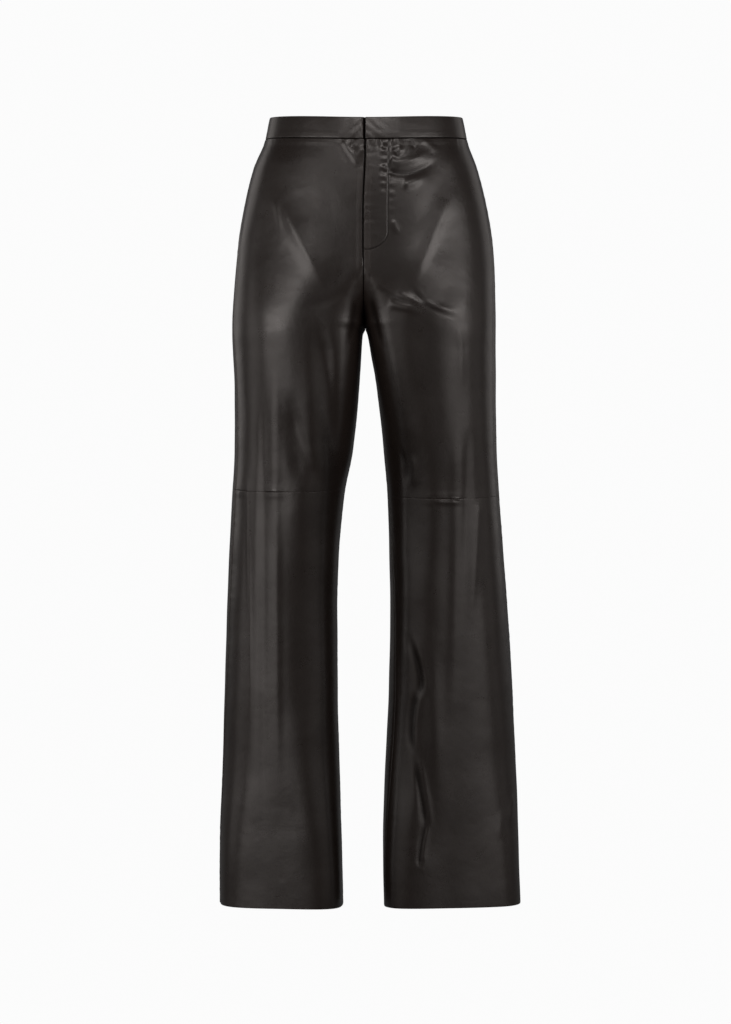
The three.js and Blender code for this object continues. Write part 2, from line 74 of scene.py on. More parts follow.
# Driving sizes. They are the solids' own, except that the legs part a little higher
SEAM_GAP = 0.3
BAND_HEIGHT = 30.0
BAND_THICKNESS = 2.8
BAND_PROUD = 0.8
SIDE_RISE = 10.0
BACK_RISE = 18.0
RISE_FULL_AT = -10.0
RISE_FADES_AT = -150.0
CROTCH_Z = -262.0
FRONT_FORK = 78.0
BACK_FORK = 125.0
LEGS_MERGE_ABOVE = 148.0
LEGS_PART_BELOW = 22.0
FORK_SQUARE = 4.4
FORK_SQUARE_FADES = 190.0
FORK_FAN = 0.6
KNEE_SEAM_RISE = 8.0
HEM_Z = -1055.0
FLY_LAP = 6.0
LAP_DEPTH = 1.7
LAP_STEP = (0.2, 2.2)
LAP_NARROWS_Z = -140.0
LAP_WHOLE_Z = -150.0
LAP_ENDS_Z = -168.0
LAP_FLAT_Z = -190.0
UNDERLAP = 34.0
STEP_STARTS = 4.6
STEP_ENDS = 0.4

# Towards the hems the legs' fronts are flatter than the solids'
HEM_SQUARE = 4.2
HEM_FLATTENS_Z = -840.0

# Below the crotch each leg is turned out a little, and the closing line drifts to the wearer's right
TURN_OUT = 0.16
TURN_OUT_FROM = -190.0
TURN_OUT_AT = -620.0
DRIFT = -2.8
DRIFT_REACH = 46.0
DRIFT_BELOW = (-30.0, -110.0)
DRIFT_ABOVE = (CROTCH_Z - 60.0, CROTCH_Z + 50.0)
DRIFT_IN_FRONT = (0.0, -50.0)

# The fly's sewn line: straight down beside the lap, then a quarter of an ellipse to the closing line
FLY_LINE_X = 31.7
FLY_LINE_TOP_Z = -16.5
FLY_BEND_Z = -141.0
FLY_FOOT_Z = -165.5
FLY_LINE_ENDS_X = 1.2

# Where the knee seams pull tight, in distances across the garment, and how much they show elsewhere
KNEE_TIGHT = ((-176.0, -160.0), (-136.0, -112.0), (84.0, 130.0))
KNEE_SLACK = 0.22
KNEE_SOFT = 3.0

# The leather itself and how its edges are made
LEATHER_THICKNESS = 1.0
MIDDLE_GAP = 0.012
TURNED_EDGE = (0.7, 1.4, 2.2)
EDGE_STEPS = (0.0, 0.2, 0.5, 0.95, 1.5, 2.2, 3.2, 4.6, 6.5, 9.0)
HEM_TURN_UP = 32.0
HEM_ROUND = 3.0
HEM_STEPS = (2.0, 1.2, 0.6, 0.2, 0.0)
HEM_ROUND_UP = (-0.7, -0.9, -0.5, 0.8)
HEM_ROUND_IN = (0.35, 1.2, 2.1, 2.5)
HEM_INSIDE_ROWS = 8
HEM_INSIDE_FROM = 4.0
HEM_INSIDE_IN = 2.6
SIDE_RIDGE = 0.75
SIDE_RIDGE_AT = 2.2
SIDE_RIDGE_WIDTH = 1.2
SIDE_RIDGE_BELOW = (-40.0, -110.0)

# How finely the leather's grid is laid, and how the folds reach over it
GRID_STEP = 3.1
FORK_ROWS = 34
COARSE_COLUMNS = 161
PANEL_COLUMNS = {"front": 96, "back": 56}
FINE_STEP = 0.85
FLY_FINE_TO = 39.0
FLY_ROW_STEP = 1.25
FOLD_FACING = (0.2, 0.5)
FOLD_REACH = 3.0
FOLD_PLACES = 11
NARROW_WIDTH = 5.0
HOLLOW_DEPTHS = (-0.3, -1.5)

# Multiples of a panel's seed, one for each edge but the inner one
SIDE_SEED = 1.7
TOP_SEED = 2.9
BOTTOM_SEED = 3.7

# How much painted shade darkens the leather, from 0 to 1, at its seams, in narrow troughs, at the lap and at
# the fly
SEAM_PAINTED_SHADE = 0.5
KNEE_PAINTED_SHADE = 0.05
HOLLOW_PAINTED_SHADE = 0.6
LAP_PAINTED_SHADE = 0.9
FLY_PAINTED_SHADE = 0.7

# The distances from a seam or a sewn line between which that painted shade sets in
SEAM_DARK = (0.8, 0.25)
KNEE_DARK = (0.7, 0.2)
WAIST_DARK = (1.0, 0.4)
LAP_DARK = (3.2, 2.0)
FLY_DARK = (1.1, 0.5)
MIDDLE_DARK = (1.7, 0.6)
BAND_DARK = (1.2, 0.4)

# Each leg's sections from the top down, with lengths from the middle plane or the side line
SECTION_COLUMNS = ("z", "outer", "inner", "front", "back", "square", "side_seam", "inseam")
RIGHT_SECTIONS = (
    (45, 127, 0, 89, 88, 2.2, 0, 0),
    (20, 132, 0, 91, 91, 2.2, 0, 0),
    (-5, 137, 0, 94, 96, 2.22, 0, 0),
    (-46, 154, 0, 99, 108, 2.28, -3, 0),
    (-102, 167, 0, 104, 124, 2.35, -12, 0),
    (-157, 176, 0, 107, 135, 2.4, -24, 0),
    (-212, 181, 0, 109, 140, 2.4, -34, 0),
    (-262, 184, 0, 109, 136, 2.35, -42, 0),
    (-272, 184, 4, 109, 134.5, 2.33, -43, 0),
    (-300, 183, 6, 108, 129, 2.3, -45, 0),
    (-350, 181, 9, 105, 119, 2.3, -46, 0),
    (-433, 181, 17, 98, 105, 2.35, -46, 0),
    (-492, 184, 29, 93, 98, 2.4, -46, 0),
    (-571, 188, 36.5, 89, 93, 2.45, -44, 0),
    (-654, 191, 39, 86, 90, 2.5, -42, -4),
    (-764, 194, 38, 84, 89, 2.6, -38, -6),
    (-875, 197, 35.5, 83, 88, 2.7, -32, -6),
    (-985, 199, 32.5, 83, 88, 2.85, -26, -4),
    (-1055, 199.5, 31, 83, 88, 3, -22, -2),
)
LEFT_SECTIONS = (
    (45, 129, 0, 89, 88, 2.2, 0, 0),
    (20, 134, 0, 91, 91, 2.2, 0, 0),
    (-5, 139, 0, 94, 96, 2.22, 0, 0),
    (-46, 154, 0, 99, 108, 2.28, -3, 0),
    (-102, 167.5, 0, 104, 124, 2.35, -12, 0),
    (-157, 176, 0, 107, 135, 2.4, -24, 0),
    (-212, 179, 0, 109, 140, 2.4, -32, 0),
    (-262, 180, 0, 109, 136, 2.35, -38, 0),
    (-272, 180, 3, 109, 134.5, 2.33, -38, 0),
    (-300, 180, 8, 108, 129, 2.3, -38, -2),
    (-350, 180, 16, 105, 119, 2.3, -36, -6),
    (-433, 181.5, 25.5, 98, 105, 2.35, -34, -14),
    (-501, 185, 30.5, 91, 97, 2.4, -30, -22),
    (-571, 190, 32.5, 86, 91, 2.45, -22, -32),
    (-654, 195.5, 34, 82, 86, 2.5, -12, -40),
    (-764, 202, 32.5, 78, 83, 2.6, 0, -44),
    (-875, 208, 27, 76, 81, 2.7, 8, -44),
    (-985, 211, 24, 75, 80, 2.85, 12, -42),
    (-1055, 213.5, 25.5, 75, 80, 3, 14, -40),
)

# Folds run through three places on one face: the distance across the garment and the height of each, then
# the width and depth of the fold (a trough is negative) and the shares of its length over which its ends die
# away. The first table is the solids' own, with the folds across the front drawn finer.
LARGE_FOLDS = {
    "front": (
        (-128, -75, -88, -150, -46, -225, 15, 1.7, 0.3, 0.5),
        (122, -72, 84, -150, 44, -226, 14, 1.7, 0.3, 0.5),
        (30, -60, 70, -60, 104, -38, 9, -1.2, 0.1, 0.5),
        (30, -230, 86, -246, 146, -256, 26, 2.5, 0.3, 0.3),
        (-30, -240, -86, -262, -146, -268, 36, 0.6, 0.3, 0.3),
        (-62, -245, -52, -370, -36, -488, 13, -4.2, 0.3, 0.3),
        (-104, -345, -96, -420, -80, -488, 13, -2.4, 0.4, 0.3),
        (62, -400, 66, -520, 62, -640, 20, -3, 0.4, 0.4),
        (-86, -500, -84, -700, -80, -900, 24, -3, 0.3, 0.5),
        (60, -680, 84, -900, 76, -1000, 13, -0.9, 0.4, 0.3),
        (50, -660, 54, -820, 50, -960, 10, -1.3, 0.4, 0.3),
    ),
    "back": (
        (-34, -236, -72, -262, -120, -276, 13, -4.2, 0.25, 0.5),
        (34, -238, 76, -266, 124, -284, 13, -4.2, 0.25, 0.5),
        (-60, -280, -76, -330, -128, -366, 16, -3.2, 0.35, 0.5),
        (58, -284, 80, -340, 132, -372, 16, -3.2, 0.35, 0.5),
        (-84, -380, -92, -520, -90, -700, 22, -3.4, 0.35, 0.45),
        (96, -390, 100, -540, 108, -720, 22, -3.4, 0.35, 0.45),
        (-126, -600, -132, -800, -138, -980, 18, -3, 0.4, 0.4),
        (150, -620, 158, -820, 162, -990, 18, -3, 0.4, 0.4),
    ),
    "outer_right": (
        (38, -300, 30, -420, 34, -560, 20, -3, 0.4, 0.4),
    ),
    "outer_left": (
        (40, -310, 34, -430, 36, -580, 20, -3, 0.4, 0.4),
    ),
}

# Finer creases across the front that only the leather shows
FINE_FOLDS = (
    # beside the fly: the trough that droops from it, and the soft ridges above and below
    (30, -59, 66, -60, 102, -36, 4.5, -1.0, 0.06, 0.4),
    (33, -46, 56, -45, 92, -28, 5.5, 1.5, 0.06, 0.5),
    (50, -76, 64, -73, 88, -54, 6.5, 1.5, 0.3, 0.5),
    (41, -13, 45, -24, 47, -34, 4.5, 1.0, 0.05, 0.4),
    (37, -35, 44, -32, 52, -35, 5.5, 1.6, 0.2, 0.3),
    (60, -14, 63, -22, 70, -28, 4, -0.8, 0.1, 0.4),
    (74, -14, 90, -24, 96, -34, 5, 0.8, 0.1, 0.5),
    (38, -124, 41, -134, 46, -146, 4, 0.7, 0.3, 0.4),
    (-30, -16, -22, -30, -6, -54, 4.6, 1.2, 0.3, 0.2),
    (-8, -13, -9, -24, -7, -36, 4.2, 1.0, 0.05, 0.4),
    (-15, -40, -7, -33, 0, -31, 6, 1.7, 0.3, 0.05),
    (-16, -14, -18, -22, -22, -32, 3, -0.8, 0.1, 0.4),
    # the edges of the flat front, from the hips towards the crotch
    (-118, -92, -86, -158, -52, -222, 6, 0.8, 0.3, 0.5),
    (-104, -96, -70, -160, -34, -226, 28, 1.8, 0.3, 0.4),
    (-122, -92, -118, -120, -112, -150, 3.5, 0.7, 0.3, 0.5),
    (112, -92, 88, -158, 62, -214, 6, 0.8, 0.3, 0.4),
    # the creases across the left thigh, under the crotch
    (40, -224, 76, -238, 132, -252, 5, 1.2, 0.2, 0.3),
    (30, -238, 52, -243, 84, -250, 6, 1.4, 0.25, 0.4),
    (62, -212, 82, -240, 130, -260, 3.2, -1.0, 0.3, 0.4),
    (16, -214, 44, -232, 74, -240, 3, -0.9, 0.2, 0.5),
    (124, -268, 129, -310, 127, -366, 4, 0.7, 0.3, 0.4),
    (8, -222, 15, -262, 26, -312, 4, -1.7, 0.3, 0.5),
    (-10, -226, -15, -262, -30, -318, 4.5, -1.2, 0.3, 0.5),
    (-18, -214, -52, -236, -100, -240, 6, -0.6, 0.3, 0.5),
    (-50, -262, -44, -380, -30, -476, 8, -1.2, 0.3, 0.4),
    (-104, -350, -84, -430, -60, -486, 7, -1.0, 0.3, 0.4),
    # small creases above the left knee
    (44, -424, 52, -452, 54, -486, 4, -0.9, 0.4, 0.3),
    (62, -440, 66, -462, 64, -490, 5, 0.8, 0.4, 0.3),
    # upright ridges and furrows down the outer halves of the legs
    (-122, -300, -121, -600, -119, -960, 6.5, 1.2, 0.15, 0.3),
    (-139, -330, -139, -640, -138, -980, 7, -1.6, 0.15, 0.25),
    (-160, -470, -158, -640, -156, -860, 3, 0.9, 0.1, 0.5),
    (124, -385, 122, -620, 114, -860, 8, 1.3, 0.15, 0.5),
    (155, -500, 147, -600, 140, -700, 5, 1.1, 0.1, 0.5),
    (139, -400, 137, -520, 132, -680, 6, -1.0, 0.2, 0.4),
    # the winding furrow on the inner half of the left leg, and the bulge beside it
    (54, -677, 72, -731, 73, -772, 4.7, -1.6, 0.4, 0.25),
    (73, -752, 62, -800, 64, -852, 4.7, -1.6, 0.3, 0.3),
    (63, -838, 76, -905, 82, -952, 4.5, -1.5, 0.3, 0.3),
    (83, -936, 76, -968, 73, -1000, 3.2, -1.5, 0.3, 0.15),
    (61, -677, 79, -731, 81, -772, 4.2, 1.0, 0.4, 0.25),
    (81, -748, 69, -800, 71, -852, 4.2, 1.0, 0.25, 0.3),
    (70, -838, 83, -905, 89, -952, 4.2, 0.9, 0.3, 0.3),
    (88, -938, 80, -968, 77, -998, 3.2, 1.0, 0.3, 0.2),
    (76, -1001, 78, -1004, 80, -1007, 1.2, 0.3, 0.3, 0.3),
    (56, -690, 59, -735, 54, -790, 6, 0.35, 0.3, 0.3),
    (92, -700, 94, -800, 98, -930, 10, 1.0, 0.3, 0.4),
    # near the hems and the right leg's inner edge
    (-36, -690, -38, -715, -41, -745, 3, -0.9, 0.4, 0.4),
    (-106, -900, -92, -940, -78, -975, 7, -0.4, 0.4, 0.4),
    (-114, -1008, -113, -1014, -112, -1020, 4, -0.15, 0.4, 0.4),
    (203, -900, 200, -925, 196, -948, 3.5, 1.0, 0.3, 0.4),
    (187, -920, 184, -946, 180, -968, 5, 0.5, 0.4, 0.4),
    # short puffs at the knee seams
    (-134, -490, -124, -490.5, -114, -491, 1.6, 0.6, 0.3, 0.3),
    (88, -504, 108, -505.5, 128, -505.5, 1.6, 0.6, 0.3, 0.3),
    (114, -500, 121, -500.5, 128, -500.5, 1.6, 0.5, 0.3, 0.3),
)


def smoothstep(start: float, end: float, value: np.ndarray | float) -> np.ndarray:
    """Rise from 0 at start to 1 at end as 3t^2 - 2t^3, where t is the share of the way.

    Args:
        start: the value where the rise begins.
        end: the value where it is whole. It may be below start.
        value: one number or an array.

    Returns:
        The risen share, with the value's own shape.
    """
    t = np.clip((np.asarray(value, dtype=float) - start) / (end - start), 0.0, 1.0)
    return t * t * (3.0 - 2.0 * t)


def mix(a: np.ndarray | float, b: np.ndarray | float, t: np.ndarray | float) -> np.ndarray | float:
    """The value a share t of the way from a to b."""
    return a + (b - a) * t


def bell(value: np.ndarray, middle: float, width: float) -> np.ndarray:
    """exp(-((value - middle) / width)^2): 1 at the middle, and almost 0 from two widths away."""
    return np.exp(-(((value - middle) / width) ** 2))


def unit(vectors: np.ndarray) -> np.ndarray:
    """Vectors at length 1, along the last axis."""
    return vectors / np.maximum(np.linalg.norm(vectors, axis=-1, keepdims=True), TINY_LENGTH)


def crotch_share(z: np.ndarray, fork: float) -> np.ndarray:
    """The crotch seam's share of the section's depth, a quarter of an ellipse: sqrt(1 - (1 - t)^2)."""
    t = np.clip((z - CROTCH_Z) / fork, 0.0, 1.0)
    return np.sqrt(1.0 - (1.0 - t) ** 2)


class Face(Enum):
    """The side of a leg that a panel covers."""

    FRONT = "front"
    BACK = "back"

    @property
    def end(self) -> int:
        """-1 where the panel faces -Y and 1 where it faces +Y."""
        return -1 if self is Face.FRONT else 1

    @property
    def fork(self) -> float:
        """The height over which this face's crotch seam curves under the body."""
        return FRONT_FORK if self is Face.FRONT else BACK_FORK


class Part(Enum):
    """The half of a leg that a panel covers."""

    UPPER = "upper"
    LOWER = "lower"


@dataclass
class HalfSection:
    """The front or back half of a section: its depth, the crotch seam's share of it, and its inner reach."""

    depth: np.ndarray
    crotch: np.ndarray
    inward: np.ndarray


@dataclass
class Section:
    """A leg's section at an array of heights."""

    centre: np.ndarray
    outward: np.ndarray
    square: np.ndarray
    inner_square: np.ndarray
    front: HalfSection
    back: HalfSection
    side_seam: np.ndarray
    inseam: np.ndarray

    def half(self, face: Face) -> HalfSection:
        """The half of the section on one face."""
        return self.front if face is Face.FRONT else self.back

    def angle_at(self, y: np.ndarray, stretch: int) -> np.ndarray:
        """The angle of a point at a distance y behind the side line.

        x is the reach times (1 - |y / depth|^n)^(1/n), and the angle is that of (x, y).

        Args:
            y: distances behind the side line.
            stretch: 1 for the outer stretch of the section and -1 for the inner one.

        Returns:
            Angles from the outermost point, in radians.
        """
        depth = np.where(y < 0, self.front.depth, self.back.depth)
        inward = np.where(y < 0, self.front.inward, self.back.inward)
        reach = self.outward if stretch > 0 else inward
        n = self.square if stretch > 0 else self.inner_square
        share = np.minimum(1.0, np.abs(y) / depth)
        return np.arctan2(y, stretch * reach * (1.0 - share**n) ** (1.0 / n))

    def middle_angle(self, face: Face) -> np.ndarray:
        """The angle where the section meets the middle plane on one face."""
        half = self.half(face)
        return np.arctan2(face.end * half.depth * half.crotch, -self.centre)


class Leg:
    """One half of the trousers' smooth form, as a surface of angle and nominal height."""

    def __init__(self, name: str, sign: int, rows: tuple, knee: float) -> None:
        """Keep the section table.

        Args:
            name: right or left.
            sign: -1 for the wearer's right and 1 for the left.
            rows: the section table, from the top down.
            knee: the knee seam's height in front.
        """
        self.name = name
        self.sign = sign
        self.knee = knee
        table = np.array(rows, dtype=float)
        self.drop = -table[:, 0]
        self.columns = {key: table[:, i] for i, key in enumerate(SECTION_COLUMNS)}

    def column(self, key: str, z: np.ndarray) -> np.ndarray:
        """A column of the table at heights z, by a cubic whose slopes are the harmonic means of its rows'.

        Args:
            key: the column's name.
            z: an array of heights.

        Returns:
            The column's value at each height.
        """
        x = self.drop
        v = self.columns[key]
        h = np.diff(x)
        slope = np.diff(v) / h
        product = slope[:-1] * slope[1:]
        total = slope[:-1] + slope[1:]
        inner = np.where(product > 0, 2.0 * product / np.where(product > 0, total, 1.0), 0.0)
        tangent = np.concatenate(([slope[0]], inner, [slope[-1]]))
        at = np.clip(-z, x[0], x[-1])
        k = np.clip(np.searchsorted(x, at, side="right") - 1, 0, len(h) - 1)
        t = (at - x[k]) / h[k]
        t2 = t * t
        t3 = t2 * t
        return (
            (2 * t3 - 3 * t2 + 1) * v[k]
            + (t3 - 2 * t2 + t) * h[k] * tangent[k]
            + (3 * t2 - 2 * t3) * v[k + 1]
            + (t3 - t2) * h[k] * tangent[k + 1]
        )

    def section(self, z: np.ndarray) -> Section:
        """The section at heights z. Its inner quarters close below the crotch only.

        Args:
            z: an array of heights.

        Returns:
            The section, each part of it with z's shape.
        """
        z = np.asarray(z, dtype=float)
        outer = self.column("outer", z)
        inner = self.column("inner", z)
        square = self.column("square", z)
        parted = smoothstep(CROTCH_Z + LEGS_MERGE_ABOVE, CROTCH_Z - LEGS_PART_BELOW, z)
        centre = parted * (outer + inner) / 2.0
        inner_square = mix(square, FORK_SQUARE, smoothstep(CROTCH_Z - FORK_SQUARE_FADES, CROTCH_Z, z))
        at_hem = smoothstep(HEM_FLATTENS_Z, HEM_Z, z)
        square = mix(square, HEM_SQUARE, at_hem)
        inner_square = mix(inner_square, HEM_SQUARE, at_hem)

        def half(fork: float, depth: np.ndarray) -> HalfSection:
            """One half of the section, open to the middle plane above the crotch."""
            crotch = crotch_share(z, fork)
            opened = np.maximum(0.0, 1.0 - crotch**inner_square) ** (1.0 / inner_square)
            above = np.where(centre > LEAST_CENTRE, centre / np.maximum(LEAST_OPENING, opened), outer)
            return HalfSection(depth, crotch, np.where(z > CROTCH_Z, above, centre - inner))

        return Section(
            centre=centre,
            outward=outer - centre,
            square=square,
            inner_square=inner_square,
            front=half(FRONT_FORK, self.column("front", z)),
            back=half(BACK_FORK, self.column("back", z)),
            side_seam=self.column("side_seam", z),
            inseam=self.column("inseam", z),
        )

    def point(self, angle: np.ndarray, z: np.ndarray) -> np.ndarray:
        """Points of the smooth form: r = (|cos / reach|^n + |sin / depth|^n)^(-1/n) from the centre.

        Args:
            angle: angles round the section; 0 is outermost, negative is to the front, positive to the back.
            z: nominal heights, to which the waist's rise is added.

        Returns:
            Points, with one more axis than angle and z.
        """
        angle, z = np.broadcast_arrays(np.asarray(angle, dtype=float), np.asarray(z, dtype=float))
        height = z + rise_at(angle, z)
        section = self.section(height)
        turned = np.where(angle > math.pi, angle - 2 * math.pi, angle)
        front = turned < 0
        depth = np.where(front, section.front.depth, section.back.depth)
        inward = np.where(front, section.front.inward, section.back.inward)
        c = np.cos(turned)
        s = np.sin(turned)
        reach = np.where(c > 0, section.outward, inward)
        n = np.where(c > 0, section.square, section.inner_square)
        r = (np.abs(c / reach) ** n + np.abs(s / depth) ** n) ** (-1.0 / n)
        turned_out = TURN_OUT * smoothstep(TURN_OUT_FROM, TURN_OUT_AT, height)
        return np.stack([self.sign * (section.centre + r * c), r * s + turned_out * r * c, height], axis=-1)

    def normal(self, angle: np.ndarray, z: np.ndarray) -> np.ndarray:
        """Outward normals of the smooth form, from the cross product of its two central differences."""
        turn = 0.02
        step = 1.5
        around = self.point(angle + turn, z) - self.point(angle - turn, z)
        up = self.point(angle, z + step) - self.point(angle, z - step)
        return unit(np.cross(around, up) * self.sign)

    def front_angle(self, x: np.ndarray, z: np.ndarray) -> np.ndarray:
        """The angle of the front's point at a distance x from the middle plane, at heights z."""
        section = self.section(z)
        across = np.abs(x) - section.centre
        reach = np.where(across > 0, section.outward, section.front.inward)
        n = np.where(across > 0, section.square, section.inner_square)
        y = -section.front.depth * (1.0 - np.abs(across / reach) ** n) ** (1.0 / n)
        return np.arctan2(y, across)


def rise_at(angle: np.ndarray, z: np.ndarray) -> np.ndarray:
    """The waist is level in front and rises with the sine of the angle towards the sides and the back."""
    s = np.sin(angle)
    rise = np.where(s < 0, SIDE_RISE * (1.0 + s), SIDE_RISE + (BACK_RISE - SIDE_RISE) * s)
    return rise * smoothstep(RISE_FADES_AT, RISE_FULL_AT, z)


RIGHT = Leg("right", -1, RIGHT_SECTIONS, -492.0)
LEFT = Leg("left", 1, LEFT_SECTIONS, -501.0)


@dataclass(frozen=True)
class Fold:
    """One trough or ridge of the leather, along the parabola through three places on one face."""

    face: str
    across_a: float
    z_a: float
    across_b: float
    z_b: float
    across_c: float
    z_c: float
    width: float
    depth: float
    fade_in: float
    fade_out: float

    def push(self, points: np.ndarray, normals: np.ndarray) -> np.ndarray:
        """How far this fold pushes points out: depth times the ends' fade times exp(-(distance / width)^2).

        Args:
            points: points of the smooth form, one row each.
            normals: their outward normals.

        Returns:
            One distance for each point.
        """
        facing = {
            "front": -normals[:, 1],
            "back": normals[:, 1],
            "outer_right": -normals[:, 0],
            "outer_left": normals[:, 0],
        }[self.face]
        across = points[:, 1] if self.face.startswith("outer") else points[:, 0]
        z = points[:, 2]
        reach = FOLD_REACH * self.width
        xs = (self.across_a, self.across_b, self.across_c)
        zs = (self.z_a, self.z_b, self.z_c)
        near = (facing > FOLD_FACING[0]) & (across > min(xs) - reach) & (across < max(xs) + reach)
        near &= (z > min(zs) - reach) & (z < max(zs) + reach)
        out = np.zeros(len(points))
        if not near.any():
            return out
        t = np.linspace(0.0, 1.0, FOLD_PLACES)
        a = (1 - t) * (1 - 2 * t)
        b = 4 * t * (1 - t)
        c = t * (2 * t - 1)
        line = np.stack([a * v[0] + b * v[1] + c * v[2] for v in (xs, zs)], axis=1)
        start = line[:-1]
        along = line[1:] - start
        offset = np.stack([across[near], z[near]], axis=1)[:, None, :] - start
        passed = np.clip((offset * along).sum(-1) / (along**2).sum(-1), 0.0, 1.0)
        distance = np.linalg.norm(offset - passed[..., None] * along, axis=-1)
        best = distance.argmin(axis=1)
        index = np.arange(len(best))
        share = (best + passed[index, best]) / len(along)
        ends = smoothstep(0, self.fade_in, share) * smoothstep(0, self.fade_out, 1.0 - share)
        faces_it = smoothstep(*FOLD_FACING, facing[near])
        out[near] = self.depth * ends * faces_it * bell(distance[index, best], 0.0, self.width)
        return out


@dataclass(frozen=True)
class Waviness:
    """The leather's faint unevenness: a sum of sine waves in random directions, unequal in length."""

    count: int = 26
    shortest: float = 34.0
    longest: float = 120.0
    height: float = 0.42
    upright: float = 0.22
    gain: float = 1.8
    seed: int = 7

    def push(self, points: np.ndarray) -> np.ndarray:
        """The sum over the waves of height times sin(2 pi (direction . point) / length + phase)."""
        random = np.random.default_rng(self.seed)
        direction = unit(random.normal(size=(self.count, 3)) * (1.0, 1.0, self.upright))
        length = random.uniform(self.shortest, self.longest, self.count)
        phase = random.uniform(0.0, 2.0 * math.pi, self.count)
        waves = np.sin(2.0 * math.pi * (points @ (direction / length[:, None]).T) + phase)
        return waves @ (self.height * length / self.longest / math.sqrt(self.count) * self.gain)


FOLDS = (
    *(Fold(face, *row) for face, rows in LARGE_FOLDS.items() for row in rows),
    *(Fold("front", *row) for row in FINE_FOLDS),
)
NARROW_TROUGHS = tuple(fold for fold in FOLDS if fold.depth < 0 and fold.width < NARROW_WIDTH)
WAVINESS = Waviness()


def drape(points: np.ndarray, normals: np.ndarray) -> np.ndarray:
    """How far the folds and the leather's unevenness push points of the form along their normals.

    Args:
        points: points of the smooth form, with any leading axes.
        normals: their outward normals.

    Returns:
        Distances with the points' leading axes.
    """
    flat = points.reshape(-1, 3)
    flat_normals = normals.reshape(-1, 3)
    out = WAVINESS.push(flat)
    for fold in FOLDS:
        out = out + fold.push(flat, flat_normals)
    return out.reshape(points.shape[:-1])


def drifted(points: np.ndarray) -> np.ndarray:
    """Let the closing line and the crotch seam drift aside: x gains DRIFT exp(-(x / reach)^2).

    Args:
        points: finished points, with any leading axes.

    Returns:
        The moved points.
    """
    z = points[..., 2]
    share = smoothstep(*DRIFT_BELOW, z) * smoothstep(*DRIFT_ABOVE, z)
    in_front = smoothstep(*DRIFT_IN_FRONT, points[..., 1])
    moved = points.copy()
    moved[..., 0] += DRIFT * share * in_front * bell(points[..., 0], 0.0, DRIFT_REACH)
    return moved


def fly_distance(x: np.ndarray, z: np.ndarray) -> np.ndarray:
    """The distance from the fly's sewn line, negative inside it.

    Beside the quarter of an ellipse it is (q - 1) / |grad q|, where q is 1 on the ellipse.
    """
    across = FLY_LINE_X - FLY_LINE_ENDS_X
    down = FLY_BEND_Z - FLY_FOOT_Z
    dx = (x - FLY_LINE_ENDS_X) / across
    dz = np.minimum(z - FLY_BEND_Z, 0.0) / down
    q = np.maximum(TINY_SHARE, np.hypot(dx, dz))
    slope = np.hypot(dx / across, dz / down) / q
    return np.where(z > FLY_BEND_Z, x - FLY_LINE_X, (q - 1.0) / slope)


@dataclass(frozen=True)
class FlySewing:
    """How the sewn fly lifts and draws in the left front's leather.

    A pair named fades holds the heights between which a row of lumps grows to its full size. A pair named
    row holds the row's distance from the sewn line and its width.
    """

    groove: float = 0.4
    groove_width: float = 0.7
    lift: float = 0.4
    lift_over: tuple[float, float] = (1.0, -1.2)
    lumps: float = 0.5
    lump_length: float = 11.5
    uneven: tuple[float, float, float] = (0.6, 0.63, 1.1)
    inner_row: tuple[float, float] = (-6.5, 4.0)
    inner_fades: tuple[float, float] = (-98.0, -60.0)
    outer_height: float = 0.42
    outer_row: tuple[float, float] = (5.0, 3.6)
    outer_fades: tuple[float, float] = (-160.0, -40.0)
    waist_height: float = 0.8
    waist_row: tuple[float, float] = (-20.0, 7.0)
    waist_fades: tuple[float, float] = (56.0, 30.0)
    waist_lengths: tuple[float, float] = (9.4, 6.1)
    waist_phase: float = 0.6

    def push(self, x: np.ndarray, z: np.ndarray) -> np.ndarray:
        """A groove -g exp(-(d / w)^2) at the sewn line, a low step inside it, and lumps beside it.

        The lumps are sums of two sines, down both sides of the line and across the leather under the waist.

        Args:
            x: distances left of the middle plane.
            z: heights.

        Returns:
            The push at each point.
        """
        d = fly_distance(x, z)
        groove = -self.groove * bell(d, 0.0, self.groove_width)
        step = self.lift * smoothstep(*self.lift_over, d)
        turn = 2.0 * math.pi * z / self.lump_length
        share, rate, phase = self.uneven
        wave = np.sin(turn) + share * np.sin(rate * turn + phase)
        long, short = (2.0 * math.pi * x / length for length in self.waist_lengths)
        across = np.sin(long + self.waist_phase) + 0.5 * np.sin(short)
        inner = bell(d, *self.inner_row) * smoothstep(*self.inner_fades, z)
        outer = self.outer_height * bell(d, *self.outer_row) * smoothstep(*self.outer_fades, z)
        waist = self.waist_height * bell(z, *self.waist_row) * smoothstep(*self.waist_fades, x)
        return groove + step + self.lumps * (wave * (inner + outer) + across * waist)


FLY_SEWING = FlySewing()


def hollow(points: np.ndarray, normals: np.ndarray) -> np.ndarray:
    """How far points lie down in the narrow troughs, from 0 to 1, for the painted shade there.

    Args:
        points: points of the smooth form, with any leading axes.
        normals: their outward normals.

    Returns:
        Shares with the points' leading axes.
    """
    flat = points.reshape(-1, 3)
    flat_normals = normals.reshape(-1, 3)
    depth = sum(fold.push(flat, flat_normals) for fold in NARROW_TROUGHS)
    return smoothstep(*HOLLOW_DEPTHS, depth).reshape(points.shape[:-1])


def leather_point(
    leg: Leg, angle: np.ndarray, z: np.ndarray, out: float = 0.0
) -> tuple[np.ndarray, np.ndarray]:
    """Points of the draped leather, and the form's normals there.

    Args:
        leg: the leg whose surface it is.
        angle: angles round the section.
        z: nominal heights.
        out: a distance to move every point out.

    Returns:
        The points and the normals.
    """
    point = leg.point(angle, z)
    normal = leg.normal(angle, z)
    return point + normal * (drape(point, normal) + out)[..., None], normal


